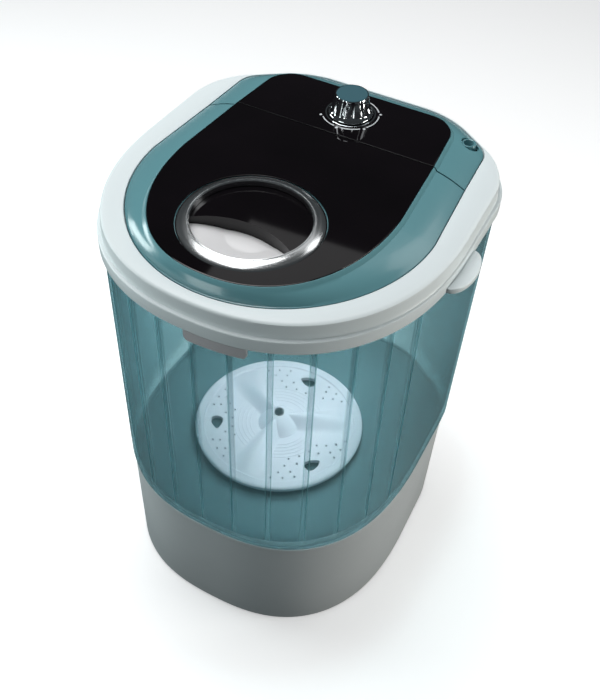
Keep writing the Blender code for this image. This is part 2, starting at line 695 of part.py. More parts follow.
# ---------------------------------------------------------------- lid and control deck
def hood_shape(chain, edge_y, inner_y):
    """A hood over half of the top: a skirt, a sloping band, and a sunk seat for a black panel.

    chain(outline, y) gives the open run of an outline that ends at y on both sides. The hood is
    flat at edge_y, and its inside is flat at inner_y.
    """
    wall = HOOD_WALL
    outer = [
        (TEAL, SKIRT_BOTTOM), (TEAL, DECK_EDGE - 0.0008), (TEAL.grown(-0.0012), DECK_EDGE),
        (BLACK.grown(0.0016), PANEL_TOP - 0.0008), (BLACK.grown(0.0004), PANEL_TOP - 0.0002),
        (BLACK.grown(0.0004), PANEL_SEAT),
    ]
    inner = [
        (TEAL.grown(-wall), SKIRT_BOTTOM), (TEAL.grown(-wall), DECK_EDGE - 0.0035),
        (BLACK.grown(0.0006), PANEL_SEAT - wall - 0.0004),
    ]

    def make(shape):
        top = [ring_of(shape, level(chain(line, edge_y), z)) for line, z in outer]
        under = [ring_of(shape, level(chain(line, inner_y), z)) for line, z in inner]
        for here, there in zip(top, top[1:]):
            bridge(shape, here, there, closed=False)
        shape.faces.new(top[-1])
        shape.faces.new([row[0] for row in top] + [row[-1] for row in reversed(top)])
        bridge(shape, top[0], under[0])
        for here, there in zip(under, under[1:]):
            bridge(shape, here, there)
        shape.faces.new(under[-1])
    return make


def front_chain(outline, y):
    return outline.front_chain(y)


def rear_chain(outline, y):
    return outline.rear_chain(y)


def scoop_outline(inset):
    """The lens between the ring's front and the arc that ends the black grip."""
    grip_y = SCOOP_EDGE_Y - SCOOP_EDGE_R
    radius, arc = RING_BORE_R - 0.0018 - inset, SCOOP_EDGE_R - inset
    apart = HANDLE_Y - grip_y
    meet_y = (apart ** 2 + radius ** 2 - arc ** 2) / (2 * apart)
    meet_x = (radius ** 2 - meet_y ** 2) ** 0.5
    start = atan2(-meet_y, -meet_x)
    points = []
    for k in range(17):
        turn = start + (-pi - 2 * start) * k / 16
        points.append((radius * cos(turn), radius * sin(turn)))
    half = atan2(meet_x, apart - meet_y)
    for k in range(1, 12):
        turn = pi / 2 - half + 2 * half * k / 12
        points.append((arc * cos(turn), arc * sin(turn) - apart))
    return points


def make_lid(root, lid, paint):
    shift = Vector((0.0, -HINGE_Y, -HINGE_Z))
    frame = add("lid_frame", hood_shape(front_chain, LID_BACK_Y, LID_BACK_Y - HOOD_WALL), paint["teal"],
                lid, shift)
    slots, bosses = [], []
    for side in (1, -1):
        middle = side * HINGE_X
        for edge in (1, -1):
            x = sorted((middle + edge * 0.0050, middle + edge * 0.0110))
            bosses.append((
                (x[0], HINGE_Y - 0.0035, HINGE_Z - 0.0030),
                (x[1], LID_BACK_Y - 0.0010, PANEL_SEAT - 0.0010),
            ))
        slots.append((
            (middle - 0.0048, HINGE_Y - 0.0042, SKIRT_BOTTOM - 0.003),
            (middle + 0.0048, LID_BACK_Y + 0.003, PANEL_SEAT + 0.0002),
        ))
    boolean(frame, "UNION", "lid_bosses", blocks(bosses), shift)
    boolean(frame, "DIFFERENCE", "cut_lid_slots", blocks(slots), shift)
    boolean(frame, "DIFFERENCE", "cut_lid_cup", rod(0.0662, 0.535, 0.550, 40),
            Vector((0.0, HANDLE_Y, 0.0)) + shift)
    for side, word in ((1, "right"), (-1, "left")):
        x = side * HINGE_X
        boolean(frame, "DIFFERENCE", f"cut_lid_pin_{word}", rod(PIN_HOLE_R, -0.0105, 0.0105, 16),
                (x, 0.0, 0.0), (0, pi / 2, 0))
        add(f"hinge_pin_{word}", rod(HINGE_PIN_R, -0.0100, 0.0100, 16), paint["steel"], lid,
            (x, 0.0, 0.0), (0, pi / 2, 0))

    edge = BLACK.grown(-0.0001)
    chamfer = 0.0012
    low, high = PANEL_TOP - PANEL, PANEL_TOP
    panel = add("lid_panel", stacked([
        level(front_chain(edge, LID_BACK_Y), low),
        level(front_chain(edge, LID_BACK_Y), high - chamfer),
        level(front_chain(edge.grown(-0.0002), LID_BACK_Y - chamfer), high),
    ]), paint["black"], lid, shift)
    boolean(panel, "DIFFERENCE", "cut_panel_ring", rod(RING_R + 0.0006, 0.535, 0.560, 40),
            Vector((0.0, HANDLE_Y, 0.0)) + shift)

    at = Vector((0.0, HANDLE_Y, 0.0)) + shift
    seat = PANEL_SEAT + GAP
    add("handle_ring", turned([
        (RING_BORE_R, seat - 0.0028), (0.0652, seat - 0.0028), (0.0652, seat), (RING_R, seat),
        (RING_R, PANEL_TOP + 0.0004), (RING_R - 0.0010, PANEL_TOP + 0.0010),
        (RING_BORE_R + 0.0020, PANEL_TOP + 0.0022), (RING_BORE_R, PANEL_TOP + 0.0010),
    ], 40), paint["chrome"], lid, at)
    cup = add("handle_cup", rod(RING_BORE_R - 0.0006, 0.5275, 0.5445, 40), paint["black"], lid, at)
    boolean(cup, "DIFFERENCE", "cut_scoop", prism(scoop_outline(0.0), 0.5292, 0.560), at)
    hollow = [(0.0520 * cos(radians(a)), 0.0520 * sin(radians(a))) for a in range(14, 167, 8)]
    boolean(cup, "DIFFERENCE", "cut_cup_hollow", prism(hollow, 0.520, 0.5420), at)

    lens = scoop_outline(0.0004)
    dish = []
    for x, y in lens:
        rise = (hypot(x, y) / (RING_BORE_R - 0.0022)) ** 6
        dish.append((x, y, 0.5312 + 0.0120 * rise))
    middle = [(x * 0.8, (y + 0.030) * 0.55 - 0.030) for x, y in lens]
    floor = [(x, y, 0.5306 + 0.0100 * (hypot(x, y) / RING_BORE_R) ** 5) for x, y in middle]

    def scoop_shape(shape):
        foot = ring_of(shape, level(lens, 0.5296))
        rim = ring_of(shape, dish)
        well = ring_of(shape, floor)
        bridge(shape, foot, rim)
        bridge(shape, rim, well)
        shape.faces.new(foot)
        tip = shape.verts.new((0.0, -0.030, 0.5306))
        for i in range(len(well)):
            shape.faces.new((tip, well[i], well[(i + 1) % len(well)]))
    add("handle_scoop", scoop_shape, paint["chrome"], lid, at)

    liner = TEAL.grown(-0.0042)
    add("lid_liner", stacked([
        level(front_chain(liner, HINGE_Y - 0.0065), SKIRT_BOTTOM + 0.0002),
        level(front_chain(liner, HINGE_Y - 0.0065), SKIRT_BOTTOM + 0.0022),
    ]), paint["white"], lid, shift)


def hinge_arm(shape):
    """A gooseneck lug in the YZ plane: an eye round the pin, a neck down, and a foot to the deck.

    The neck is thin towards the rear, where the lid's rear edge swings down behind it.
    """
    eye, neck, foot_y, foot_low, foot_high = 0.0030, 0.0012, 0.0105, -0.0150, -0.0105
    first = -acos(neck / eye)
    turns = [first + (pi - first) * k / 10 for k in range(11)]
    outline = [(eye * cos(turn), eye * sin(turn)) for turn in turns]
    outline += [(-eye, foot_low), (foot_y, foot_low), (foot_y, foot_high), (neck, foot_high)]
    stacked([[(x, y, z) for y, z in outline] for x in (-0.0035, 0.0035)])(shape)


def make_deck(root, paint):
    deck = add("control_deck", hood_shape(rear_chain, DECK_FRONT_Y, DECK_FRONT_Y + HOOD_WALL),
               paint["teal"], root)
    for side, word in ((1, "right"), (-1, "left")):
        spot = (side * HINGE_X, HINGE_Y, HINGE_Z)
        boolean(deck, "UNION", f"hinge_arm_{word}", hinge_arm, spot)
        boolean(deck, "DIFFERENCE", f"cut_arm_pin_{word}", rod(PIN_HOLE_R, -0.006, 0.006, 16),
                spot, (0, pi / 2, 0))
    boolean(deck, "DIFFERENCE", "cut_deck_shaft", rod(0.0065, 0.530, 0.555, 24), (0.0, KNOB_Y, 0.0))
    boolean(deck, "DIFFERENCE", "cut_deck_inlet", rod(0.0084, 0.510, 0.560, 24), (INLET_X, INLET_Y, 0.0))

    edge = BLACK.grown(-0.0001)
    overlay = add("deck_overlay", stacked([
        level(rear_chain(edge, DECK_FRONT_Y), PANEL_TOP - PANEL),
        level(rear_chain(edge, DECK_FRONT_Y), PANEL_TOP - 0.0003),
        level(rear_chain(edge.grown(-0.0003), DECK_FRONT_Y + 0.0003), PANEL_TOP),
    ]), paint["black"], root)
    boolean(overlay, "DIFFERENCE", "cut_overlay_shaft", rod(0.0060, 0.530, 0.560, 24), (0.0, KNOB_Y, 0.0))

    at = (0.0, KNOB_Y, 0.0)
    add("dial_ring", tube(0.0278, 0.0262, PANEL_TOP + GAP, PANEL_TOP + 0.0010, 28), paint["chrome"],
        root, at)
    timer = add("timer_body", stacked([
        level(rounded_rectangle(0.0240, 0.0240, 0.006), 0.5060),
        level(rounded_rectangle(0.0240, 0.0240, 0.006), 0.5400),
    ]), paint["white"], root, at)
    boolean(timer, "UNION", "timer_nose", rod(0.0055, 0.5390, 0.5466, 20), at)
    boolean(timer, "DIFFERENCE", "cut_timer_bore", rod(0.0034, 0.5200, 0.5500, 20), at)
    for side, word in ((1, "right"), (-1, "left")):
        add(f"timer_screw_{word}", turned([
            (0.0, 0.5025), (0.0030, 0.5030), (0.0030, 0.5055), (0.0, 0.5056),
        ], 12), paint["steel"], root, (side * 0.0180, KNOB_Y, 0.0))

    back = 0.1760
    front = DECK_FRONT_Y + HOOD_WALL + 0.0040
    half_y = (back - front) / 2
    middle = (0.0, (back + front) / 2)
    outer = rounded_rectangle(0.1000, half_y, 0.012, centre=middle)
    inner = rounded_rectangle(0.0980, half_y - 0.0020, 0.010, centre=middle)

    def tray(shape):
        rings = [ring_of(shape, level(loop, z)) for loop, z in (
            (outer, BOX_FLOOR), (outer, 0.5370), (inner, 0.5370), (inner, BOX_FLOOR + 0.0020))]
        for here, there in zip(rings, rings[1:]):
            bridge(shape, here, there)
        shape.faces.new(rings[0])
        shape.faces.new(rings[-1])
    box = add("control_box", tray, paint["white"], root)
    boolean(box, "DIFFERENCE", "cut_box_wires", rod(0.0040, 0.480, 0.495, 12), (0.0, 0.1680, 0.0))

    add("inlet_port", turned([
        (0.0052, 0.5050), (0.0080, 0.5050), (0.0080, 0.5372), (0.0074, 0.5385), (0.0060, 0.5385),
        (0.0052, 0.5370),
    ], 24), paint["teal"], root, (INLET_X, INLET_Y, 0.0))


def make_knob(knob, paint):
    add("timer_knob", turned([
        (0.0034, KNOB_BOTTOM), (0.0245, KNOB_BOTTOM), (0.0245, KNOB_BOTTOM + 0.0025),
        (0.0222, KNOB_BOTTOM + 0.0045), (0.0182, KNOB_TOP - 0.0016), (0.0172, KNOB_TOP),
        (0.0160, KNOB_TOP), (0.0160, KNOB_TOP - 0.0026), (0.0034, KNOB_TOP - 0.0026),
    ], 24), paint["chrome"], knob)
    add("knob_cap", turned([
        (0.0, KNOB_TOP - 0.0022), (0.0156, KNOB_TOP - 0.0022), (0.0156, KNOB_TOP - 0.0004),
        (0.0150, KNOB_TOP), (0.0, KNOB_TOP),
    ], 24), paint["chrome"], knob)
    add("timer_shaft", rod(0.0030, 0.5210, KNOB_TOP - 0.0032, 16), paint["steel"], knob)


# ---------------------------------------------------------------- the whole machine
def main():
    clear_scene()
    paint = {
        "base": material("grey_plastic", (0.33, 0.35, 0.36), 0.45),
        "under": material("dark_plastic", (0.05, 0.05, 0.055), 0.6),
        "white": material("white_plastic", (0.80, 0.86, 0.87), 0.35),
        "teal": material("teal_plastic", (0.115, 0.290, 0.330), 0.30),
        "tub": material("clear_teal_plastic", (0.10, 0.27, 0.29), 0.10, alpha=0.55),
        "pulsator": material("pale_plastic", (0.55, 0.72, 0.78), 0.35),
        "black": material("black_gloss", (0.006, 0.005, 0.007), 0.08),
        "chrome": material("satin_chrome", (0.62, 0.64, 0.65), 0.22, 1.0),
        "silver": material("silver_plastic", (0.70, 0.72, 0.73), 0.35, 0.4),
        "steel": material("steel", (0.45, 0.45, 0.46), 0.35, 1.0),
        "zinc": material("zinc_plate", (0.50, 0.51, 0.52), 0.45, 1.0),
        "brass": material("sintered_bronze", (0.50, 0.33, 0.15), 0.5, 1.0),
        "rubber": material("rubber", (0.02, 0.02, 0.02), 0.8),
    }
    root = empty("machine", (0.0, ORIGIN_Y, 0.0))
    lid = empty("lid_hinge", (0.0, HINGE_Y, HINGE_Z), root)
    knob = empty("timer_axis", (0.0, KNOB_Y, 0.0), root)
    spinner = empty("pulsator_axis", (0.0, SPIN_Y, 0.0), root)
    rotor = empty("motor_axis", (0.0, MOTOR_Y, 0.0), root)
    make_base(root, paint)
    make_drain_and_wiring(root, paint)
    make_drive(root, spinner, rotor, paint)
    make_tub(root, paint)
    make_pulsator(spinner, paint)
    make_collar(root, paint)
    make_deck(root, paint)
    make_lid(root, lid, paint)
    make_knob(knob, paint)


main()
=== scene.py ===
"""The looks of a mini top-load washing machine: fine shells, ribs, vanes and flutes, and every finish.

Metres, +Z up, front towards -Y. Pieces are modelled in the machine's own frame, whose y is counted
from the lid's widest place, and are moved by ORIGIN_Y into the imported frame.
"""
import json
from bisect import bisect_right
from math import acos, atan2, cos, hypot, pi, radians, sin, tan

import bmesh
import bpy
from mathutils import Matrix, Vector


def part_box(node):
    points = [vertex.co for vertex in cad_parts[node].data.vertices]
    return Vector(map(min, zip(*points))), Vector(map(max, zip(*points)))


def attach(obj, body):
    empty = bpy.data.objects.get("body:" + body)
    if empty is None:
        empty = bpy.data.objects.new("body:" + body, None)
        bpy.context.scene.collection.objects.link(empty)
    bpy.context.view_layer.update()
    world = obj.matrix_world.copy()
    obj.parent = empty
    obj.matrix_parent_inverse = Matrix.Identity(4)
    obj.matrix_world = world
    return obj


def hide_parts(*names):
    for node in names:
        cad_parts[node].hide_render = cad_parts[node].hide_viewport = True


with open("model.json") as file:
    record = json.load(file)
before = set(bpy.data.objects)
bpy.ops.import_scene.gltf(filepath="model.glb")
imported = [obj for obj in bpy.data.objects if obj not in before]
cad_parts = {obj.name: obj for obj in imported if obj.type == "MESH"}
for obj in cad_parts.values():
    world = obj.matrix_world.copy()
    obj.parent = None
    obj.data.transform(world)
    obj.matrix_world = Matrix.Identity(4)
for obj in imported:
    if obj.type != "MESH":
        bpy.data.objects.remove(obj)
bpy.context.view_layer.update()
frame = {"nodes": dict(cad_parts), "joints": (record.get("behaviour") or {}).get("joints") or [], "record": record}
JOINTS = {joint["name"]: joint for joint in frame["joints"]}

# ---- places and sizes from the frame
SPIN_Y = -0.005  # the pulsator's axis in the machine's own frame
ORIGIN_Y = JOINTS["pulsator_spin"]["pos_m"][1] - SPIN_Y


def own_box(node):
    """The two corners of a node's box, in the machine's own frame."""
    return [corner - Vector((0, ORIGIN_Y, 0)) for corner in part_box(node)]


FLANGE_LOW, FLANGE_HIGH = own_box("top_collar")
BASE_LOW, BASE_HIGH = own_box("base_shell")
PANEL_LOW, PANEL_HIGH = own_box("lid_panel")
KNOB_LOW, KNOB_HIGH = own_box("timer_knob")
RING_LOW, RING_HIGH = own_box("handle_ring")
FAN_LOW, FAN_HIGH = own_box("pulsator")
INLET_LOW, INLET_HIGH = own_box("inlet_port")
DRAIN_LOW, DRAIN_HIGH = own_box("drain_pipe")
CORD_LOW, CORD_HIGH = own_box("cord_gland")

FLOOR_TO_BASE = BASE_LOW.z
BASE_TOP = BASE_HIGH.z
TUB_TOP = own_box("wash_tub")[1].z
FLANGE_BOTTOM = FLANGE_LOW.z
FLANGE_TOP = FLANGE_BOTTOM + 0.016
COLLAR_TOP = FLANGE_HIGH.z
DECK_EDGE = COLLAR_TOP - 0.0005  # the teal's outer edge, just below the collar
PANEL_TOP = PANEL_HIGH.z
PANEL = PANEL_TOP - PANEL_LOW.z
LEDGE_TOP = COLLAR_TOP - 0.0125  # the collar's ledge, on which lid and deck rest
SKIRT_BOTTOM = LEDGE_TOP + 0.002
PANEL_SEAT = PANEL_LOW.z - 0.0004
CUT_LOW, CUT_HIGH = 0.530, 0.560  # heights of a cut through the top panels
HOOD_WALL = 0.0023
LID_GAP = 0.0012
SPLIT_Y = PANEL_HIGH.y + LID_GAP / 2
LID_BACK_Y = SPLIT_Y - LID_GAP / 2
DECK_FRONT_Y = SPLIT_Y + LID_GAP / 2
HINGE_Y = JOINTS["lid_hinge"]["pos_m"][1] - ORIGIN_Y
HINGE_Z = JOINTS["lid_hinge"]["pos_m"][2]
HINGE_X = 0.104
PIN_HOLE_R = 0.0018
BOSS_IN, BOSS_OUT = 0.0050, 0.0110  # a hinge boss, measured from its hinge's middle
HANDLE_Y = (RING_LOW.y + RING_HIGH.y) / 2
HANDLE_AT = (0.0, HANDLE_Y, 0.0)
RING_R = RING_HIGH.x
RING_BORE_R = RING_R - 0.0101
RING_SEAT_R = 0.0652
HANDLE_HOLE_R = 0.0662
CUP_BOTTOM, CUP_TOP = 0.5275, 0.5445
DISH_BOTTOM = 0.5296
DISH_MIDDLE_Y = -0.030  # the dish's middle, from the ring's axis
SCOOP_EDGE_Y = HANDLE_Y - 0.0004  # the arc that ends the black grip
SCOOP_EDGE_R = 0.0873
KNOB_Y = (KNOB_LOW.y + KNOB_HIGH.y) / 2
KNOB_AT = (0.0, KNOB_Y, 0.0)
KNOB_R = KNOB_HIGH.x
INLET_X = (INLET_LOW.x + INLET_HIGH.x) / 2
INLET_Y = (INLET_LOW.y + INLET_HIGH.y) / 2
INLET_AT = (INLET_X, INLET_Y, 0.0)
PULSATOR_R = FAN_HIGH.x
PULSATOR_BOTTOM = FAN_LOW.z
DRAIN_X = (DRAIN_LOW.x + DRAIN_HIGH.x) / 2
CORD_X = (CORD_LOW.x + CORD_HIGH.x) / 2
CORD_Z = (CORD_LOW.z + CORD_HIGH.z) / 2
TUB_FLOOR = PULSATOR_BOTTOM - 0.003

FRONT_STEPS = 46  # points along half of an outline's front
CORNER_STEPS = 10
SPINS = 96  # points round a circle by default


# ---- outlines seen from above
class Outline:
    """A D-shaped outline: an elliptic front, sides that narrow a little, chamfered rear corners.

    half and front are the widest half width and the front's y, power is the front's squareness,
    middle_y is where the front ends, split_x is the half width at the lid's rear edge, side is
    (x, y, radius) of the side's corner, rear is (x, radius) of the rear's corner at rear_y.
    """

    def __init__(self, half, front, power, middle_y, split_x, side, rear, rear_y):
        self.half, self.front, self.power, self.middle_y = half, front, power, middle_y
        self.split_x, self.side, self.rear, self.rear_y = split_x, side, rear, rear_y

    def grown(self, by):
        side_x, side_y, side_r = self.side
        rear_x, rear_r = self.rear
        return Outline(
            self.half + by, self.front - by, self.power, self.middle_y, self.split_x + by,
            (side_x + by, side_y + 0.35 * by, max(side_r + by, 0.004)),
            (rear_x + 0.35 * by, max(rear_r + by, 0.004)), self.rear_y + by,
        )

    def half_width_at(self, y):
        """Half width anywhere from the front to the side's corner."""
        if y > self.middle_y:
            return self.side_x_at(y)
        share = (self.middle_y - y) / (self.middle_y - self.front)
        return self.half * (1 - share ** self.power) ** (1 / self.power)

    def side_x_at(self, y):
        if y <= SPLIT_Y:
            share = (y - self.middle_y) / (SPLIT_Y - self.middle_y)
            return self.half + (self.split_x - self.half) * share
        share = (y - SPLIT_Y) / (self.side[1] - SPLIT_Y)
        return self.split_x + (self.side[0] - self.split_x) * share

    def front_y_at(self, x):
        """How far forward the front reaches beside the middle line."""
        share = (1 - (abs(x) / self.half) ** self.power) ** (1 / self.power)
        return self.middle_y - (self.middle_y - self.front) * share

    def front_half(self, end_y):
        """Right side, from the front's middle to the side at end_y."""
        points = []
        reach = self.middle_y - self.front
        for step in range(FRONT_STEPS + 1):
            turn = pi / 2 * step / FRONT_STEPS
            across = self.half * sin(turn) ** (2 / self.power)
            along = reach * max(cos(turn), 0.0) ** (2 / self.power)
            points.append((across, self.middle_y - along))
        points.append((self.side_x_at(end_y), end_y))
        return points

    def rear_half(self, start_y):
        """Right side, from the side at start_y round both corners to the rear's middle."""
        start = (self.side_x_at(start_y), start_y)
        corner = self.side[:2]
        rear = (self.rear[0], self.rear_y)
        points = [start]
        points += fillet(start, corner, rear, self.side[2], CORNER_STEPS)
        points += fillet(corner, rear, (0.0, self.rear_y), self.rear[1], CORNER_STEPS)
        return points + [(0.0, self.rear_y)]

    def loop(self):
        """The whole closed outline, counter-clockwise from the front's middle."""
        right = self.front_half(SPLIT_Y) + self.rear_half(SPLIT_Y)[1:]
        return right + [(-x, y) for x, y in reversed(right[1:-1])]

    def front_chain(self, end_y):
        right = self.front_half(end_y)
        return [(-x, y) for x, y in reversed(right[1:])] + right

    def rear_chain(self, start_y):
        right = self.rear_half(start_y)
        return right + [(-x, y) for x, y in reversed(right[:-1])]


def fillet(before, corner, after, radius, steps):
    """Points of the arc that rounds a corner between two straight runs."""
    here = Vector(corner)
    a = (Vector(before) - here).normalized()
    b = (Vector(after) - here).normalized()
    half = a.angle(b) / 2
    run = min(radius / tan(half), 0.45 * (Vector(after) - here).length)
    centre = here + (a + b).normalized() * (run / cos(half))
    start = here + a * run - centre
    end = here + b * run - centre
    sweep = start.angle_signed(end)
    return [tuple(centre + Matrix.Rotation(-sweep * k / steps, 2) @ start) for k in range(steps + 1)]


TEAL = Outline(0.1600, -0.1713, 2.0, 0.000, 0.1530, (0.1490, 0.1705, 0.030), (0.0890, 0.100), 0.2150)
BLACK = Outline(0.1232, -0.1620, 2.22, 0.000, 0.1167, (0.1100, 0.1650, 0.030), (0.0920, 0.030), 0.1840)
COLLAR = Outline(0.1856, -0.1863, 2.25, 0.020, 0.1835, (0.1820, 0.1490, 0.085), (0.0900, 0.100), 0.2185)
FLANGE = Outline(0.1885, FLANGE_LOW.y, 2.28, 0.020, 0.1880, (0.1885, 0.1540, 0.090), (0.0925, 0.100),
                 FLANGE_HIGH.y)
RIM = Outline(0.1775, -0.1785, 2.50, 0.020, 0.1765, (0.1750, 0.1450, 0.085), (0.0850, 0.100), 0.2100)
HEM = Outline(0.1760, -0.1775, 2.50, 0.020, 0.1735, (0.1710, 0.1440, 0.085), (0.0840, 0.100), 0.2070)
TUB_LOW = Outline(0.1810, -0.1830, 2.40, 0.020, 0.1800, (0.1785, 0.1480, 0.085), (0.0870, 0.100), 0.2130)
TUB_HIGH = FLANGE.grown(-0.0038)
OPENING = TEAL.grown(-0.008)


# ---- mesh makers
def ring_of(shape, points):
    return [shape.verts.new(point) for point in points]


def level(points, z):
    return [(x, y, z) for x, y in points]


def row(outline, by, z):
    """A grown outline as a closed loop at one height."""
    return level(outline.grown(by).loop(), z)


def bridge(shape, first, second, closed=True):
    count = len(first)
    for i in range(count if closed else count - 1):
        j = (i + 1) % count
        shape.faces.new((first[i], first[j], second[j], second[i]))


def lofted(loops):
    """A ring-shaped body: each closed loop is joined to the next, and the last to the first."""
    def make(shape):
        rings = [ring_of(shape, loop) for loop in loops]
        for here, there in zip(rings, rings[1:] + rings[:1]):
            bridge(shape, here, there)
    return make


def stacked(loops):
    """A solid body: loops joined in turn and closed by a flat face at each end."""
    def make(shape):
        rings = [ring_of(shape, loop) for loop in loops]
        for here, there in zip(rings, rings[1:]):
            bridge(shape, here, there)
        shape.faces.new(rings[0])
        shape.faces.new(rings[-1])
    return make


def circle(radius, count=SPINS, centre=(0.0, 0.0)):
    turns = [2 * pi * k / count for k in range(count)]
    return [(centre[0] + radius * cos(t), centre[1] + radius * sin(t)) for t in turns]


def turned(profile, count=SPINS):
    """A turned body. The profile is (radius, height) pairs. Ends on the axis close the body there."""
    def make(shape):
        solid = profile[0][0] == 0.0
        rings = []
        for radius, z in profile:
            if radius == 0.0:
                rings.append([shape.verts.new((0.0, 0.0, z))])
            else:
                rings.append(ring_of(shape, level(circle(radius, count), z)))
        pairs = list(zip(rings, rings[1:]))
        if not solid:
            pairs.append((rings[-1], rings[0]))
        for here, there in pairs:
            if len(here) == 1 or len(there) == 1:
                tip, rim = (here[0], there) if len(here) == 1 else (there[0], here)
                for i in range(count):
                    shape.faces.new((tip, rim[i], rim[(i + 1) % count]))
            else:
                bridge(shape, here, there)
    return make


def rod(radius, low, high, count=SPINS):
    return turned([(0.0, low), (radius, low), (radius, high), (0.0, high)], count)


def prism(points, low, high):
    return stacked([level(points, low), level(points, high)])


def blocks(boxes):
    """Several separate boxes in one helper."""
    def make(shape):
        for (x0, y0, z0), (x1, y1, z1) in boxes:
            prism([(x0, y0), (x1, y0), (x1, y1), (x0, y1)], z0, z1)(shape)
    return make


def around(loop, radius, centre):
    """A circle whose points lie in the same directions as an outline's points."""
    turns = [atan2(y - centre[1], x - centre[0]) for x, y in loop]
    return [(centre[0] + radius * cos(t), centre[1] + radius * sin(t)) for t in turns]


def between(first, second, share):
    return [(a[0] + (b[0] - a[0]) * share, a[1] + (b[1] - a[1]) * share) for a, b in zip(first, second)]


# ---- pieces
SHARP = 30  # edges turning by more degrees than this stay sharp


def mesh_object(name, mesh_maker, finishes=(), at=(0.0, 0.0, 0.0), turn=None, sharp=SHARP):
    shape = bmesh.new()
    mesh_maker(shape)
    bmesh.ops.recalc_face_normals(shape, faces=shape.faces)
    mesh = bpy.data.meshes.new(name)
    shape.to_mesh(mesh)
    shape.free()
    mesh.shade_smooth()
    mesh.set_sharp_from_angle(angle=radians(sharp))
    made = bpy.data.objects.new(name, mesh)
    made.location = Vector(at) + Vector((0.0, ORIGIN_Y, 0.0))
    if turn:
        made.rotation_euler = turn
    for finish in finishes:
        mesh.materials.append(finish)
    bpy.context.scene.collection.objects.link(made)
    return made


def piece(name, mesh_maker, finishes, body, stands_for=(), at=(0.0, 0.0, 0.0), sharp=SHARP):
    """Make one visible piece, let it ride on its body, and hide the nodes it stands for."""
    if not isinstance(finishes, (list, tuple)):
        finishes = [finishes]
    made = mesh_object(name, mesh_maker, finishes, at, sharp=sharp)
    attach(made, body)
    if stands_for:
        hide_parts(*stands_for)
    return made


def carve(target, operation, helpers):
    """Cut or join helper shapes, given as (mesh maker, place, turn), and keep the result."""
    for number, (maker, at, turn) in enumerate(helpers):
        helper = mesh_object(f"helper_{number}", maker, (), at, turn)
        step = target.modifiers.new("carve", "BOOLEAN")
        step.operation = operation
        step.object = helper
        step.solver = "EXACT"
        bpy.context.view_layer.update()
        graph = bpy.context.evaluated_depsgraph_get()
        kept = bpy.data.meshes.new_from_object(target.evaluated_get(graph), depsgraph=graph)
        target.modifiers.clear()
        old = target.data
        target.data = kept
        bpy.data.meshes.remove(old)
        bpy.data.objects.remove(helper, do_unlink=True)
    target.data.shade_smooth()
    target.data.set_sharp_from_angle(angle=radians(SHARP))


# ---- finishes
def shader_of(name):
    made = bpy.data.materials.new(name)
    made.use_nodes = True
    tree = made.node_tree
    return made, tree, tree.nodes["Principled BSDF"]


def noise(tree, scale, detail=4.0, roughness=0.5, stretch=None):
    place = tree.nodes.new("ShaderNodeTexCoord").outputs["Object"]
    made = tree.nodes.new("ShaderNodeTexNoise")
    made.inputs["Scale"].default_value = scale
    made.inputs["Detail"].default_value = detail
    made.inputs["Roughness"].default_value = roughness
    if stretch:
        mapping = tree.nodes.new("ShaderNodeMapping")
        mapping.inputs["Scale"].default_value = stretch
        tree.links.new(place, mapping.inputs["Vector"])
        place = mapping.outputs["Vector"]
    tree.links.new(place, made.inputs["Vector"])
    return made


def ramp(tree, source, stops, output="Fac"):
    made = tree.nodes.new("ShaderNodeValToRGB")
    elements = made.color_ramp.elements
    while len(elements) < len(stops):
        elements.new(0.5)
    for element, (place, colour) in zip(elements, stops):
        element.position = place
        element.color = (*colour, 1.0)
    tree.links.new(source.outputs[output], made.inputs["Fac"])
    return made


def grey(value):
    return (value, value, value)


def scaled(colour, factor):
    return tuple(min(1.0, c * factor) for c in colour)


def bumped(tree, shader, source, strength, distance):
    bump = tree.nodes.new("ShaderNodeBump")
    bump.inputs["Strength"].default_value = strength
    bump.inputs["Distance"].default_value = distance
    tree.links.new(source.outputs["Fac"], bump.inputs["Height"])
    tree.links.new(bump.outputs["Normal"], shader.inputs["Normal"])


def plastic(name, colour, roughness, grain=1400.0, depth=0.00004, strength=0.25, mottle=0.05,
            coat=0.0, metallic=0.0, patches=9.0, specular=0.5):
    """Moulded plastic: faint cloudy colour, uneven gloss and a fine grain."""
    made, tree, shader = shader_of(name)
    shader.inputs["Metallic"].default_value = metallic
    shader.inputs["Specular IOR Level"].default_value = specular
    shader.inputs["Coat Weight"].default_value = coat
    shader.inputs["Coat Roughness"].default_value = 0.08
    cloud = noise(tree, patches, 3.0, 0.55)
    tint = ramp(tree, cloud, [(0.3, scaled(colour, 1 - mottle)), (0.7, scaled(colour, 1 + mottle))])
    tree.links.new(tint.outputs["Color"], shader.inputs["Base Color"])
    smear = noise(tree, patches * 12, 3.0, 0.5)
    gloss = ramp(tree, smear, [(0.3, grey(roughness * 0.98)), (0.7, grey(min(1.0, roughness * 1.02)))])
    tree.links.new(gloss.outputs["Color"], shader.inputs["Roughness"])
    bumped(tree, shader, noise(tree, grain, 2.0, 0.5), strength, depth)
    return made


def brushed(name, colour, roughness, stretch=(8.0, 8.0, 900.0), strength=0.15, patches=14.0):
    """Plated or turned metal with fine drawn lines and a slightly cloudy gloss."""
    made, tree, shader = shader_of(name)
    shader.inputs["Metallic"].default_value = 1.0
    cloud = noise(tree, patches, 3.0, 0.5)
    tint = ramp(tree, cloud, [(0.3, scaled(colour, 0.92)), (0.7, scaled(colour, 1.05))])
    tree.links.new(tint.outputs["Color"], shader.inputs["Base Color"])
    lines = noise(tree, 1.0, 3.0, 0.6, stretch)
    gloss = ramp(tree, lines, [(0.3, grey(roughness * 0.8)), (0.7, grey(roughness * 1.25))])
    tree.links.new(gloss.outputs["Color"], shader.inputs["Roughness"])
    bumped(tree, shader, lines, strength, 0.00003)
    return made


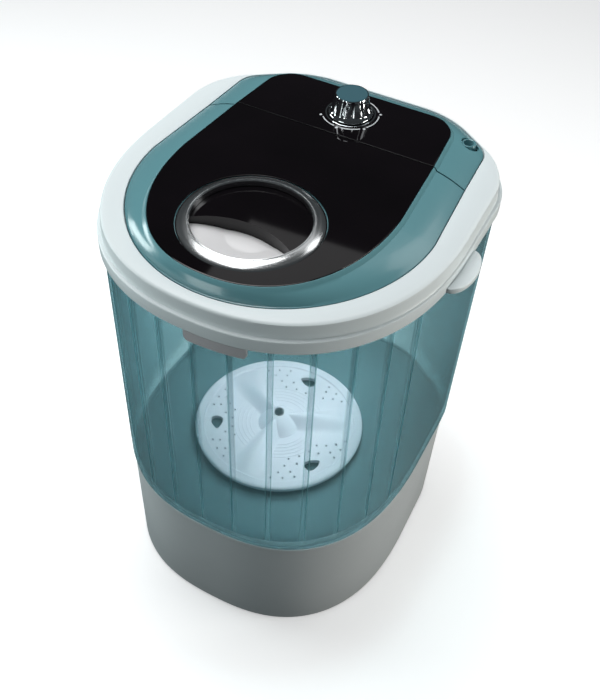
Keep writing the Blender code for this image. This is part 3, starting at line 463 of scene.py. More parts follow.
def clear_plastic(name, colour, tint, edge_tint, cover, edge_cover, roughness=0.06):
    """See-through moulded plastic: a tinted window mixed with a glossy coloured body.

    Seen along its surface a wall is thicker, so there it is darker and hides more.
    """
    made, tree, shader = shader_of(name)
    cloud = noise(tree, 5.0, 2.0, 0.5)
    body = ramp(tree, cloud, [(0.35, scaled(colour, 0.92)), (0.65, scaled(colour, 1.08))])
    tree.links.new(body.outputs["Color"], shader.inputs["Base Color"])
    smear = noise(tree, 30.0, 3.0, 0.5)
    gloss = ramp(tree, smear, [(0.3, grey(roughness * 0.8)), (0.7, grey(roughness * 1.3))])
    tree.links.new(gloss.outputs["Color"], shader.inputs["Roughness"])
    bumped(tree, shader, noise(tree, 60.0, 2.0, 0.4), 0.02, 0.0004)
    facing = tree.nodes.new("ShaderNodeLayerWeight")
    facing.inputs["Blend"].default_value = 0.5
    depth = ramp(tree, facing, [(0.40, tint), (0.80, edge_tint)], "Facing")
    hiding = ramp(tree, facing, [(0.40, grey(cover)), (0.80, grey(edge_cover))], "Facing")
    window = tree.nodes.new("ShaderNodeBsdfTransparent")
    tree.links.new(depth.outputs["Color"], window.inputs["Color"])
    mix = tree.nodes.new("ShaderNodeMixShader")
    tree.links.new(hiding.outputs["Color"], mix.inputs["Fac"])
    tree.links.new(window.outputs["BSDF"], mix.inputs[1])
    tree.links.new(shader.outputs["BSDF"], mix.inputs[2])
    tree.links.new(mix.outputs["Shader"], tree.nodes["Material Output"].inputs["Surface"])
    return made


def make_finishes():
    """Finishes by name. A plastic's bare numbers are roughness, grain, depth, strength, mottle, coat."""
    return {
        "base": plastic("grey_plastic", (0.525, 0.565, 0.575), 0.42, 1300.0, 0.00006, 0.3, 0.03),
        "under": plastic("dark_plastic", (0.045, 0.046, 0.05), 0.55, 1100.0, 0.00008, 0.4, 0.1),
        "white": plastic("white_plastic", (0.80, 0.875, 0.89), 0.34, 260.0, 0.00001, 0.012, 0.010,
                         specular=0.22),
        "teal": plastic("teal_plastic", (0.125, 0.300, 0.335), 0.24, 300.0, 0.00001, 0.015, 0.02, 0.3),
        "tub": clear_plastic("clear_teal_plastic", (0.27, 0.41, 0.44), (0.80, 0.905, 0.92),
                             (0.42, 0.60, 0.63), 0.20, 0.42),
        # The ribs' side walls get a lighter, less clear copy of the tub plastic. This is partly real, since the
        # wall is seen along its thickness there, and partly painted highlight and shade standing in for the
        # refraction lines along each rib.
        "tub_painted_rib_lines": clear_plastic("clear_teal_painted_rib_lines", (0.35, 0.60, 0.62), (0.55, 0.74, 0.77),
                                  (0.40, 0.58, 0.60), 0.35, 0.6),
        "pulsator": plastic("pale_plastic", (0.84, 0.79, 0.86), 0.32, 400.0, 0.00001, 0.03, 0.02),
        "black": plastic("black_gloss", (0.0030, 0.0018, 0.0028), 0.04, 900.0, 0.000002, 0.02, 0.3),
        "chrome": brushed("satin_chrome", (0.78, 0.80, 0.81), 0.20, (8.0, 8.0, 900.0), 0.012),
        "dish": plastic("dish_satin", (0.90, 0.90, 0.91), 0.30, 400.0, 0.00001, 0.02, 0.02, 0.3,
                        metallic=0.2),
        "cap": plastic("cap_teal", (0.055, 0.135, 0.165), 0.22, 700.0, 0.00001, 0.05, 0.03, 0.2),
        "mirror": brushed("bright_chrome", (0.70, 0.73, 0.75), 0.07, (20.0, 20.0, 20.0), 0.01),
        "silver": plastic("silver_plastic", (0.72, 0.71, 0.73), 0.30, 400.0, 0.00001, 0.03, 0.02,
                          metallic=0.25),
        "steel": brushed("steel", (0.46, 0.46, 0.47), 0.33),
        "zinc": brushed("zinc_plate", (0.52, 0.53, 0.54), 0.42, (60.0, 60.0, 60.0), 0.3, 40.0),
        "bronze": brushed("bronze", (0.50, 0.33, 0.15), 0.5, (200.0, 200.0, 200.0), 0.3, 60.0),
        "rubber": plastic("rubber", (0.018, 0.018, 0.019), 0.75, 900.0, 0.00012, 0.5, 0.2),
        "print": plastic("dial_print", (0.62, 0.66, 0.68), 0.4),
    }


# ---- base
DRAIN_Z = 0.045  # the drain's run to the back
BACKWARD = (-pi / 2, 0, 0)  # turns an upright rod to point to the back


def floor_holes(drain_r, high):
    """Cuts through the floors of base and tub for the drain's drop and the wiring duct."""
    low, drain_y, duct_y, duct_x, duct_depth = 0.150, 0.135, 0.184, 0.017, 0.004
    duct = ((-duct_x, -duct_depth, low), (duct_x, duct_depth, high))
    return [(rod(drain_r, low, high, 32), (DRAIN_X, drain_y, 0.0), None),
            (blocks([duct]), (0.0, duct_y, 0.0), None)]


def make_base(paint):
    axis = (0.0, SPIN_Y)
    sill = RIM.grown(-0.0045).loop()
    deck, under = BASE_TOP - 0.0035, BASE_TOP - 0.0065
    base = piece("base_body", lofted([
        row(HEM, -0.003, FLOOR_TO_BASE),
        row(HEM, -0.0012, FLOOR_TO_BASE),
        row(HEM, -0.0004, FLOOR_TO_BASE + 0.0003),
        row(HEM, 0.0, FLOOR_TO_BASE + 0.0012),
        level(between(HEM.loop(), RIM.loop(), 0.5), (FLOOR_TO_BASE + BASE_TOP) / 2),
        row(RIM, 0.0, BASE_TOP - 0.0022),
        row(RIM, -0.0004, BASE_TOP - 0.0007),
        row(RIM, -0.0012, BASE_TOP),
        level(sill, BASE_TOP),
        level(sill, deck),
        level(around(sill, 0.030, axis), deck),
        level(around(sill, 0.030, axis), under),
        row(RIM, -0.008, under),
        row(RIM, -0.003, under - 0.006),
    ]), paint["base"], "root", ["base_shell"])
    carve(base, "DIFFERENCE", floor_holes(0.0115, 0.165) + [
        (rod(0.0109, 0.0, 0.08, 32), (DRAIN_X, 0.16, DRAIN_Z), BACKWARD),
        (rod(0.0069, 0.0, 0.08, 32), (CORD_X, 0.16, CORD_Z), BACKWARD),
    ])


# ---- tub
RIB_STEP = radians(12)
RIB_COUNT = 6  # on each side of the middle one
RIB_HALF = 0.0024
RIB_LIP = 0.0006
RIB_DEPTH = 0.0011
RIB_REACH = 0.19  # middle radius, turns widths into angles
RIB_TOP = 0.4955
RIB_BOTTOM = 0.200
TUB_WALL = 0.0026
WELL_R = 0.0130  # the hole for the pulsator's bearing
REAR_STEPS = 100  # plain wall points round the back, between the last ribs


def rib_turns():
    """Directions round the tub from the front's middle, with the depth share and wall mark of each."""
    half, lip = RIB_HALF / RIB_REACH, RIB_LIP / RIB_REACH
    marks = []
    for number in range(-RIB_COUNT, RIB_COUNT + 1):
        middle = number * RIB_STEP
        marks += [(middle - half - lip, 0.0, True), (middle - half, 1.0, False), (middle, 1.0, False),
                  (middle + half, 1.0, True), (middle + half + lip, 0.0, False)]
        if number < RIB_COUNT:
            start, end = middle + half + lip, middle + RIB_STEP - half - lip
            marks += [(start + (end - start) * k / 6, 0.0, False) for k in range(1, 6)]
    start = RIB_COUNT * RIB_STEP + half + lip
    end = 2 * pi - start
    marks += [(start + (end - start) * k / REAR_STEPS, 0.0, False) for k in range(1, REAR_STEPS)]
    return marks


RIB_MARKS = rib_turns()


def ribbed(outline, depth):
    """An outline as seen from the middle in fixed directions, with the ribs' grooves pressed in."""
    loop = outline.loop()
    pairs = sorted((atan2(x, -y) % (2 * pi), hypot(x, y)) for x, y in loop)
    pairs = [(pairs[-1][0] - 2 * pi, pairs[-1][1])] + pairs + [(pairs[0][0] + 2 * pi, pairs[0][1])]
    angles = [angle for angle, _ in pairs]
    points = []
    for turn, share, _ in RIB_MARKS:
        place = turn % (2 * pi)
        k = bisect_right(angles, place)
        (a, ra), (b, rb) = pairs[k - 1], pairs[k]
        gap = b - a
        first = ra * sin(place - a)
        second = rb * sin(b - place)
        reach = ra * rb * sin(gap) / (first + second) if gap > 1e-6 else ra
        reach -= depth * share
        points.append((reach * sin(turn), -reach * cos(turn)))
    return points


def tub_shape(shape):
    """The tub's wall with its pressed ribs, its rounded foot, and its floor with a hole.

    Each row is an outline, its height, and how far the ribs are pressed in there.
    """
    axis = (0.0, SPIN_Y)
    sill = RIM.grown(-0.0050)
    outer = [
        (sill, BASE_TOP - 0.0031, 0.0), (sill, BASE_TOP + 0.0008, 0.0),
        (RIM.grown(-0.0006), BASE_TOP + 0.0008, 0.0),
        (RIM.grown(0.0004), BASE_TOP + 0.0030, 0.0),
        (TUB_LOW.grown(-0.0012), 0.170, 0.0), (TUB_LOW, 0.178, 0.0), (TUB_LOW, 0.186, 0.0),
        (TUB_LOW.grown(0.0001), 0.192, 0.8), (TUB_LOW.grown(0.0002), RIB_BOTTOM, 1.0),
        (TUB_HIGH, RIB_TOP, 1.0), (TUB_HIGH, RIB_TOP + 0.002, 0.0), (TUB_HIGH, TUB_TOP, 0.0),
    ]
    inside = TUB_HIGH.grown(-TUB_WALL)
    inner = [
        (inside, TUB_TOP, 0.0), (inside, RIB_TOP + 0.002, 0.0), (inside, RIB_TOP, 1.0),
        (TUB_LOW.grown(-TUB_WALL), RIB_BOTTOM, 1.0),
        (TUB_LOW.grown(-TUB_WALL), 0.190, 0.0), (TUB_LOW.grown(-0.0045), 0.178, 0.0),
        (TUB_LOW.grown(-0.0090), 0.170, 0.0), (TUB_LOW.grown(-0.0170), TUB_FLOOR, 0.0),
    ]
    rows = []
    for outline, z, share in outer + inner:
        rows.append(ring_of(shape, level(ribbed(outline, RIB_DEPTH * share), z)))
    flat = [(v.co.x, v.co.y) for v in rows[0]]
    rows.append(ring_of(shape, level(around(flat, WELL_R, axis), TUB_FLOOR)))
    rows.append(ring_of(shape, level(around(flat, WELL_R, axis), TUB_FLOOR - 0.0030)))
    rows.append(ring_of(shape, level(ribbed(RIM.grown(-0.0110), 0.0), TUB_FLOOR - 0.0035)))
    rows.append(ring_of(shape, level(ribbed(RIM.grown(-0.0080), 0.0), BASE_TOP - 0.0031)))
    for here, there in zip(rows, rows[1:] + rows[:1]):
        bridge(shape, here, there)
    shape.faces.ensure_lookup_table()
    count = len(RIB_MARKS)
    # The ribs' side walls take the second finish, whose lighter colour and lower clearness paint the refraction
    # highlights and dark lines along each rib.
    for row in range(len(outer) + len(inner)):
        for i, (_, _, is_wall) in enumerate(RIB_MARKS):
            if is_wall and (6 <= row <= 9 or row == len(outer) + 2):
                shape.faces[row * count + i].material_index = 1


def make_tub(paint):
    # The second finish paints highlight and shade lines on the ribs' side walls.
    tub = piece("tub_shell", tub_shape, [paint["tub"], paint["tub_painted_rib_lines"]], "root",
                ["wash_tub"])
    carve(tub, "DIFFERENCE", floor_holes(0.0110, 0.175))


# ---- pulsator
VANE_TURN = radians(30)  # direction of the first of the three vanes
VANES = 3
STEP_R = 0.0935  # foot of the raised step that runs round the disc
FINE_RINGS = (0.0365, 0.0415, 0.0465, 0.0515, 0.0565)
SHAFT_HOLE_R = 0.0043
FIELD_R = 0.103  # where the modelled upper side gives way to the rounded rim
HOLE_R = 0.0015
HOLE_ARCS = (  # radius, holes, spread and middle gap in degrees
    (0.0885, 9, 76, 20), (0.0800, 7, 64, 24), (0.0700, 5, 52, 20), (0.0600, 4, 40, 0),
)
DROP_R = 0.0790  # the drop-shaped window's distance from the axis


def eased(value, low, high):
    """0 below low, 1 above high, and a smooth rise between."""
    share = min(1.0, max(0.0, (value - low) / (high - low)))
    return share * share * (3 - 2 * share)


def vane_height(radius, turn):
    """A vane is round across, low at its tip, and widens towards the rim."""
    pitch = 2 * pi / VANES
    away = abs((turn - VANE_TURN + pitch / 2) % pitch - pitch / 2) * radius
    width = 0.0120 + 0.0150 * radius / PULSATOR_R
    crown = 0.5 + 0.5 * cos(pi * min(1.0, away / width))
    return 0.0165 * crown * (1 - eased(radius, 0.030, 0.102)) ** 0.6


def pulsator_height(radius, turn):
    """Height of the pulsator's upper side over its disc: a stepped rim, a dome and three vanes."""
    dish = 0.0020 * (radius / PULSATOR_R) ** 2 + 0.0016 * eased(radius, STEP_R, STEP_R + 0.0018)
    dome = 0.0200 * max(0.0, 1 - (radius / 0.026) ** 2)
    ring = 0.0005 if min(abs(radius - line) for line in FINE_RINGS) < 0.0003 else 0.0
    return 0.0040 + dish + max(dome, vane_height(radius, turn), ring)


def pulsator_shape(shape):
    count = 300
    radii = [SHAFT_HOLE_R + (FIELD_R - SHAFT_HOLE_R) * (k / 76) for k in range(77)]
    radii = [r for r in radii if min(abs(r - line) for line in FINE_RINGS) > 0.0010]
    radii = sorted(radii + [line + by for line in FINE_RINGS for by in (-0.0007, 0.0, 0.0007)])
    turns = [2 * pi * k / count for k in range(count)]
    rings = []
    for radius in radii:
        rings.append(ring_of(shape, [
            (radius * cos(t), radius * sin(t), PULSATOR_BOTTOM + pulsator_height(radius, t))
            for t in turns
        ]))
    for radius, z in ((0.1040, 0.0072), (0.1052, 0.0066), (PULSATOR_R, 0.0056), (PULSATOR_R, 0.0035),
                      (PULSATOR_R - 0.001, 0.0), (SHAFT_HOLE_R, 0.0)):
        rings.append(ring_of(shape, level(circle(radius, count), PULSATOR_BOTTOM + z)))
    for here, there in zip(rings, rings[1:] + rings[:1]):
        bridge(shape, here, there)


def water_holes(shape):
    """Small round holes in arcs between the vanes, and a drop-shaped window in the middle of each."""
    low, high = PULSATOR_BOTTOM - 0.002, PULSATOR_BOTTOM + 0.030
    for vane in range(VANES):
        middle = VANE_TURN + (vane + 0.5) * 2 * pi / VANES
        for radius, count, spread, skip in HOLE_ARCS:
            for k in range(count):
                away = radians(spread) * (k / (count - 1) - 0.5)
                if abs(away) < radians(skip) / 2:
                    continue
                spot = (radius * cos(middle + away), radius * sin(middle + away))
                prism(circle(HOLE_R, 12, spot), low, high)(shape)
        drop = []
        for k in range(24):
            turn = 2 * pi * k / 24
            along, across = 0.0105 * cos(turn), 0.0072 * sin(turn) * (1 - 0.45 * cos(turn))
            x, y = DROP_R + across, along
            drop.append((x * cos(middle) - y * sin(middle), x * sin(middle) + y * cos(middle)))
        prism(drop, low, high)(shape)


def make_pulsator(paint):
    disc = piece("pulsator_disc", pulsator_shape, paint["pulsator"], "pulsator_drive",
                 ["pulsator"], (0.0, SPIN_Y, 0.0), 40)
    carve(disc, "DIFFERENCE", [(water_holes, (0.0, SPIN_Y, 0.0), None)])


# ---- collar
def collar_shape():
    """The collar's crown and flange, hollow from below, with a ledge that carries lid and deck."""
    inner = TEAL.grown(LID_GAP).loop()
    outer = COLLAR.loop()
    room = [hypot(a[0] - b[0], a[1] - b[1]) for a, b in zip(inner, outer)]
    pocket_low = TUB_TOP + 0.0008
    pocket_high = [pocket_low + 0.018 * min(1.0, max(0.08, (r - 0.004) / 0.010)) for r in room]
    pocket_outer = between(inner, outer, 0.82)
    pocket_inner = between(inner, outer, 0.18)

    def raised(points, heights):
        return [(x, y, z) for (x, y), z in zip(points, heights)]

    crown = [level(between(inner, outer, share), COLLAR_TOP - drop) for share, drop in (
        (0.0, 0.0008), (0.03, 0.0003), (0.40, 0.0), (0.82, 0.0002), (0.92, 0.0009), (0.98, 0.0021))]
    return lofted(crown + [
        level(outer, COLLAR_TOP - 0.0040),
        row(COLLAR, 0.0004, FLANGE_TOP + 0.006),
        row(COLLAR, 0.0008, FLANGE_TOP + 0.0012),
        row(COLLAR, 0.0013, FLANGE_TOP + 0.0003),
        row(FLANGE, -0.0018, FLANGE_TOP),
        row(FLANGE, -0.0008, FLANGE_TOP - 0.0003),
        row(FLANGE, -0.0002, FLANGE_TOP - 0.0010),
        row(FLANGE, 0.0, FLANGE_TOP - 0.0022),
        row(FLANGE, 0.0, FLANGE_BOTTOM + 0.0016),
        row(FLANGE, -0.0004, FLANGE_BOTTOM + 0.0005),
        row(FLANGE, -0.0012, FLANGE_BOTTOM),
        row(FLANGE, -0.0030, FLANGE_BOTTOM),
        row(FLANGE, -0.0030, pocket_low),
        level(pocket_outer, pocket_low),
        raised(pocket_outer, pocket_high),
        raised(pocket_inner, pocket_high),
        level(pocket_inner, pocket_low),
        row(OPENING, 0.0, pocket_low),
        row(OPENING, 0.0, LEDGE_TOP - 0.0004),
        row(OPENING, 0.0004, LEDGE_TOP),
        level(inner, LEDGE_TOP),
    ])


EAR_LOW, EAR_HIGH = FLANGE_BOTTOM + 0.0004, FLANGE_BOTTOM + 0.0068
EAR_REACH = 0.0175  # how far an ear stands out from the flange
EAR_Y, EAR_HALF = 0.011, 0.034
BADGE_LEFT, BADGE_RIGHT = -0.006, 0.058
BADGE_LOW = 0.4855
BADGE_CORNER = 0.0052


def ear_outline(side, inset):
    """A round-nosed carry ear, rooted in the flange's wall."""
    steps = 36
    turns = [pi * k / steps for k in range(steps + 1)]
    along = [EAR_Y - (EAR_HALF - inset) * cos(turn) for turn in turns]
    root_x = [FLANGE.half_width_at(y) - 0.0015 for y in along]
    points = [(side * (x + (EAR_REACH - inset) * sin(turn) ** 0.8), y)
              for x, y, turn in zip(root_x, along, turns)]
    return points + [(side * root_x[k], along[k]) for k in range(steps - 6, 0, -6)]


def ear_shape(side):
    """The ear with rounded edges: each row is an inset and a height."""
    rows = [(0.0012, EAR_LOW), (0.0004, EAR_LOW + 0.0004), (0.0, EAR_LOW + 0.0012),
            (0.0, EAR_HIGH - 0.0014), (0.0004, EAR_HIGH - 0.0005), (0.0013, EAR_HIGH)]
    return stacked([level(ear_outline(side, inset), z) for inset, z in rows])


def make_collar(paint):
    collar = piece("collar_shell", collar_shape(), paint["white"], "root",
                   ["top_collar"])
    carve(collar, "DIFFERENCE", [(rod(0.0092, 0.505, LEDGE_TOP + 0.0015, 32), INLET_AT, None)])
    for side, word in ((1, "right"), (-1, "left")):
        piece(f"carry_ear_{word}", ear_shape(side), paint["white"], "root")

    inner, outer = TUB_HIGH.grown(0.0006), TUB_HIGH.grown(0.0030)
    steps = 64
    rows = []
    for k in range(steps + 1):
        x = BADGE_LEFT + (BADGE_RIGHT - BADGE_LEFT) * k / steps
        end = min(x - BADGE_LEFT, BADGE_RIGHT - x, BADGE_CORNER)
        low = BADGE_LOW + BADGE_CORNER - (BADGE_CORNER ** 2 - (BADGE_CORNER - end) ** 2) ** 0.5
        high = FLANGE_BOTTOM - 0.0004
        front, back = outer.front_y_at(x), inner.front_y_at(x)
        rows.append([
            (x, front + 0.0005, low), (x, front, low + 0.0008), (x, front, high), (x, back, high),
            (x, back, low),
        ])
    piece("badge_plate", stacked(rows), paint["silver"], "root", ["badge"])


# ---- lid and control deck
def hood_shape(chain, edge_y, inner_y):
    """A hood over half of the top: a skirt, a sloping band, and a sunk seat for a black panel."""
    wall = HOOD_WALL
    seam_y = edge_y + (0.0004 if inner_y > edge_y else -0.0004)
    outer = [
        (TEAL, SKIRT_BOTTOM), (TEAL, DECK_EDGE - 0.0012),
        (TEAL.grown(-0.0003), DECK_EDGE - 0.0004), (TEAL.grown(-0.0012), DECK_EDGE),
    ]

    def blend(share, y):
        a, b = chain(TEAL.grown(-0.0012), y), chain(BLACK.grown(0.0042), y)
        return between(a, b, share)

    def make(shape):
        top = [ring_of(shape, level(chain(line, seam_y), z)) for line, z in outer]
        rise = PANEL_TOP - 0.0042 - DECK_EDGE
        for k in range(1, 9):
            share = k / 8
            height = DECK_EDGE + rise * (share + 0.10 * sin(pi * share))
            top.append(ring_of(shape, level(blend(share, seam_y), height)))
        for by, drop in ((0.0036, 0.0034), (0.0016, 0.0008), (0.0010, 0.0003), (0.0004, 0.0003)):
            top.append(ring_of(shape, level(chain(BLACK.grown(by), seam_y), PANEL_TOP - drop)))
        top.append(ring_of(shape, level(chain(BLACK.grown(0.0004), seam_y), PANEL_SEAT)))
        under = [ring_of(shape, level(chain(line, inner_y), z)) for line, z in (
            (TEAL.grown(-wall), SKIRT_BOTTOM), (TEAL.grown(-wall), DECK_EDGE - 0.0035),
            (BLACK.grown(0.0006), PANEL_SEAT - wall - 0.0004))]
        for here, there in zip(top, top[1:]):
            bridge(shape, here, there, closed=False)
        shape.faces.new(top[-1])
        shape.faces.new([row[0] for row in top] + [row[-1] for row in reversed(top)])
        bridge(shape, top[0], under[0])
        for here, there in zip(under, under[1:]):
            bridge(shape, here, there)
        shape.faces.new(under[-1])
    return make


def panel_shape(chain, edge_y, inward):
    """A black gloss panel with a small rounded edge; inward points from its straight edge inside."""
    edge = BLACK.grown(-0.0001)
    return stacked([
        level(chain(edge, edge_y), PANEL_TOP - PANEL),
        level(chain(edge, edge_y), PANEL_TOP - 0.0005),
        level(chain(edge.grown(-0.0002), edge_y + inward * 0.0002), PANEL_TOP - 0.0001),
        level(chain(edge.grown(-0.0005), edge_y + inward * 0.0005), PANEL_TOP),
        level(chain(edge.grown(-0.0010), edge_y + inward * 0.0010), PANEL_TOP),
    ])


DISH_SLOPE = 0.20  # rise over run of the metal finger dish


def scoop_outline(inset, steps=48):
    """The lens between the ring's front and the arc that ends the black grip."""
    grip_y = SCOOP_EDGE_Y - SCOOP_EDGE_R
    radius, arc = RING_BORE_R - 0.0018 - inset, SCOOP_EDGE_R - inset
    apart = HANDLE_Y - grip_y
    meet_y = (apart ** 2 + radius ** 2 - arc ** 2) / (2 * apart)
    meet_x = (radius ** 2 - meet_y ** 2) ** 0.5
    start = atan2(-meet_y, -meet_x)
    points = []
    for k in range(steps + 1):
        turn = start + (-pi - 2 * start) * k / steps
        points.append((radius * cos(turn), radius * sin(turn)))
    half = atan2(meet_x, apart - meet_y)
    for k in range(1, steps):
        turn = pi / 2 - half + 2 * half * k / steps
        points.append((arc * cos(turn), arc * sin(turn) - apart))
    return points


def make_lid(paint):
    hood = hood_shape(Outline.front_chain, LID_BACK_Y, LID_BACK_Y - HOOD_WALL)
    rim = piece("lid_rim", hood, paint["teal"], "lid", ["lid_frame"])
    slots, bosses = [], []
    for side in (1, -1):
        middle = side * HINGE_X
        for edge in (1, -1):
            x = sorted((middle + edge * BOSS_IN, middle + edge * BOSS_OUT))
            bosses.append((
                (x[0], HINGE_Y - 0.0035, HINGE_Z - 0.0030),
                (x[1], LID_BACK_Y - 0.0010, PANEL_SEAT - 0.0010),
            ))
        slots.append((
            (middle - BOSS_IN + 0.0002, HINGE_Y - 0.0042, SKIRT_BOTTOM - 0.003),
            (middle + BOSS_IN - 0.0002, LID_BACK_Y + 0.003, PANEL_SEAT + 0.0002),
        ))
    carve(rim, "UNION", [(blocks(bosses), (0, 0, 0), None)])
    carve(rim, "DIFFERENCE", [
        (blocks(slots), (0, 0, 0), None),
        (rod(HANDLE_HOLE_R, 0.535, 0.550), HANDLE_AT, None),
        (rod(PIN_HOLE_R, -0.0105, 0.0105, 24), (HINGE_X, HINGE_Y, HINGE_Z), (0, pi / 2, 0)),
        (rod(PIN_HOLE_R, -0.0105, 0.0105, 24), (-HINGE_X, HINGE_Y, HINGE_Z), (0, pi / 2, 0)),
    ])
    panel = piece("lid_gloss_panel", panel_shape(Outline.front_chain, LID_BACK_Y, -1), paint["black"],
                  "lid", ["lid_panel"])
    carve(panel, "DIFFERENCE", [(rod(RING_R + 0.0006, 0.535, CUT_HIGH, 128), HANDLE_AT, None)])

    seat = RING_LOW.z + 0.0028
    top = PANEL_TOP
    lip_r = RING_BORE_R - 0.0036
    piece("handle_trim", turned([
        (RING_BORE_R, seat - 0.0028), (RING_SEAT_R, seat - 0.0028), (RING_SEAT_R, seat),
        (RING_R - 0.0001, seat),
        (RING_R - 0.0001, top - 0.0016), (RING_R - 0.0004, top - 0.0011), (RING_R - 0.0038, top + 0.0009),
        (RING_R - 0.0070, top + 0.0025), (lip_r + 0.0036, top + 0.0036), (lip_r + 0.0029, top + 0.0036),
        (lip_r + 0.0026, top + 0.0024), (lip_r + 0.0020, top + 0.0024), (lip_r + 0.0017, top + 0.0033),
        (lip_r + 0.0010, top + 0.0034), (lip_r + 0.0002, top + 0.0026), (lip_r, top + 0.0010),
        (lip_r, 0.5450), (RING_BORE_R, 0.5450),
    ], 160), paint["chrome"], "lid", ["handle_ring"], HANDLE_AT)
    cup_r = RING_BORE_R - 0.0006
    cup = piece("handle_grip", turned([
        (0.0, CUP_BOTTOM), (cup_r, CUP_BOTTOM), (cup_r, CUP_TOP - 0.0004),
        (cup_r - 0.0004, CUP_TOP), (0.0, CUP_TOP),
    ], 128), paint["black"], "lid", ["handle_cup"], HANDLE_AT)
    hollow = [(0.0520 * cos(radians(a)), 0.0520 * sin(radians(a))) for a in range(14, 167, 4)]
    carve(cup, "DIFFERENCE", [
        (prism(scoop_outline(0.0), DISH_BOTTOM - 0.0004, CUT_HIGH), HANDLE_AT, None),
        (prism(hollow, 0.520, CUP_TOP - 0.0025), HANDLE_AT, None),
    ])

    def dish_z(x, y):
        """The dish rises evenly towards the ring."""
        return DISH_BOTTOM + 0.0004 + DISH_SLOPE * max(0.0, hypot(x, y) - 0.026)

    def scoop_shape(shape):
        lens = scoop_outline(0.0004)
        rings = [ring_of(shape, level(lens, DISH_BOTTOM))]
        for k in range(13):
            share = 1 - k / 13
            loop = [(x * share, (y - DISH_MIDDLE_Y) * share + DISH_MIDDLE_Y) for x, y in lens]
            rings.append(ring_of(shape, [(x, y, dish_z(x, y)) for x, y in loop]))
        for here, there in zip(rings, rings[1:]):
            bridge(shape, here, there)
        shape.faces.new(rings[0])
        tip = shape.verts.new((0.0, DISH_MIDDLE_Y, dish_z(0.0, DISH_MIDDLE_Y)))
        last = rings[-1]
        for i in range(len(last)):
            shape.faces.new((tip, last[i], last[(i + 1) % len(last)]))
    piece("finger_dish", scoop_shape, paint["dish"], "lid", ["handle_scoop"],
          HANDLE_AT, 40)


DOT_TURNS = (-145, -92, -38, 26, 92)  # degrees from the right, round the dial
ARC_IN, ARC_OUT = 0.0305, 0.0318
DOT_R = 0.0328  # the dots' distance from the knob's axis
POCKET_R = 0.0100  # the sunk place in front of the inlet


def hinge_arm(shape):
    """A gooseneck lug in the YZ plane: an eye round the pin, a thin neck down, and a foot to the deck."""
    eye, neck, foot_y, foot_low, foot_high = 0.0030, 0.0012, 0.0105, -0.0150, -0.0105
    first = -acos(neck / eye)
    turns = [first + (pi - first) * k / 18 for k in range(19)]
    outline = [(eye * cos(turn), eye * sin(turn)) for turn in turns]
    outline += [(-eye, foot_low), (foot_y, foot_low), (foot_y, foot_high), (neck, foot_high)]
    stacked([[(x, y, z) for y, z in outline] for x in (-0.0035, 0.0035)])(shape)


def make_deck(paint):
    hood = hood_shape(Outline.rear_chain, DECK_FRONT_Y, DECK_FRONT_Y + HOOD_WALL)
    deck = piece("deck_shell", hood, paint["teal"], "root", ["control_deck"])
    for side in (1, -1):
        spot = (side * HINGE_X, HINGE_Y, HINGE_Z)
        carve(deck, "UNION", [(hinge_arm, spot, None)])
        carve(deck, "DIFFERENCE", [(rod(PIN_HOLE_R, -0.006, 0.006, 24), spot, (0, pi / 2, 0))])
    carve(deck, "DIFFERENCE", [
        (rod(0.0065, CUT_LOW, 0.555, 48), KNOB_AT, None),
        (rod(0.0084, 0.510, CUT_HIGH, 64), INLET_AT, None),
        (rod(POCKET_R, CUT_LOW, CUT_HIGH, 64), (INLET_X + 0.0026, INLET_Y - 0.0030, 0.0), None),
    ])
    overlay = piece("deck_gloss_panel", panel_shape(Outline.rear_chain, DECK_FRONT_Y, 1), paint["black"],
                    "root", ["deck_overlay"])
    carve(overlay, "DIFFERENCE", [(rod(0.0060, CUT_LOW, CUT_HIGH, 48), KNOB_AT, None)])

    top = INLET_HIGH.z
    piece("inlet_nozzle", turned([
        (0.0052, INLET_LOW.z), (0.0080, INLET_LOW.z), (0.0080, top - 0.0016), (0.0077, top - 0.0006),
        (0.0071, top - 0.0001), (0.0064, top), (0.0057, top - 0.0004), (0.0052, top - 0.0014),
    ], 64), paint["teal"], "root", ["inlet_port"], INLET_AT)
    piece("dial_marks", dial_shape, paint["print"], "root", at=KNOB_AT)


def dial_shape(shape):
    """Thin raised print round the knob: a broken arc with a dot in each gap."""
    low, high = PANEL_TOP - 0.0001, PANEL_TOP + 0.00015
    for start, end in zip(DOT_TURNS, DOT_TURNS[1:]):
        turns = [radians(start + 7 + (end - start - 14) * k / 16) for k in range(17)]
        arc = [(ARC_OUT * cos(t), ARC_OUT * sin(t)) for t in turns]
        arc += [(ARC_IN * cos(t), ARC_IN * sin(t)) for t in reversed(turns)]
        prism(arc, low, high)(shape)
    for turn in DOT_TURNS:
        spot = (DOT_R * cos(radians(turn)), DOT_R * sin(radians(turn)))
        prism(circle(0.0015, 20, spot), low, high)(shape)


# ---- knob
FLUTES = 12
SHAFT_BORE_R = 0.0034


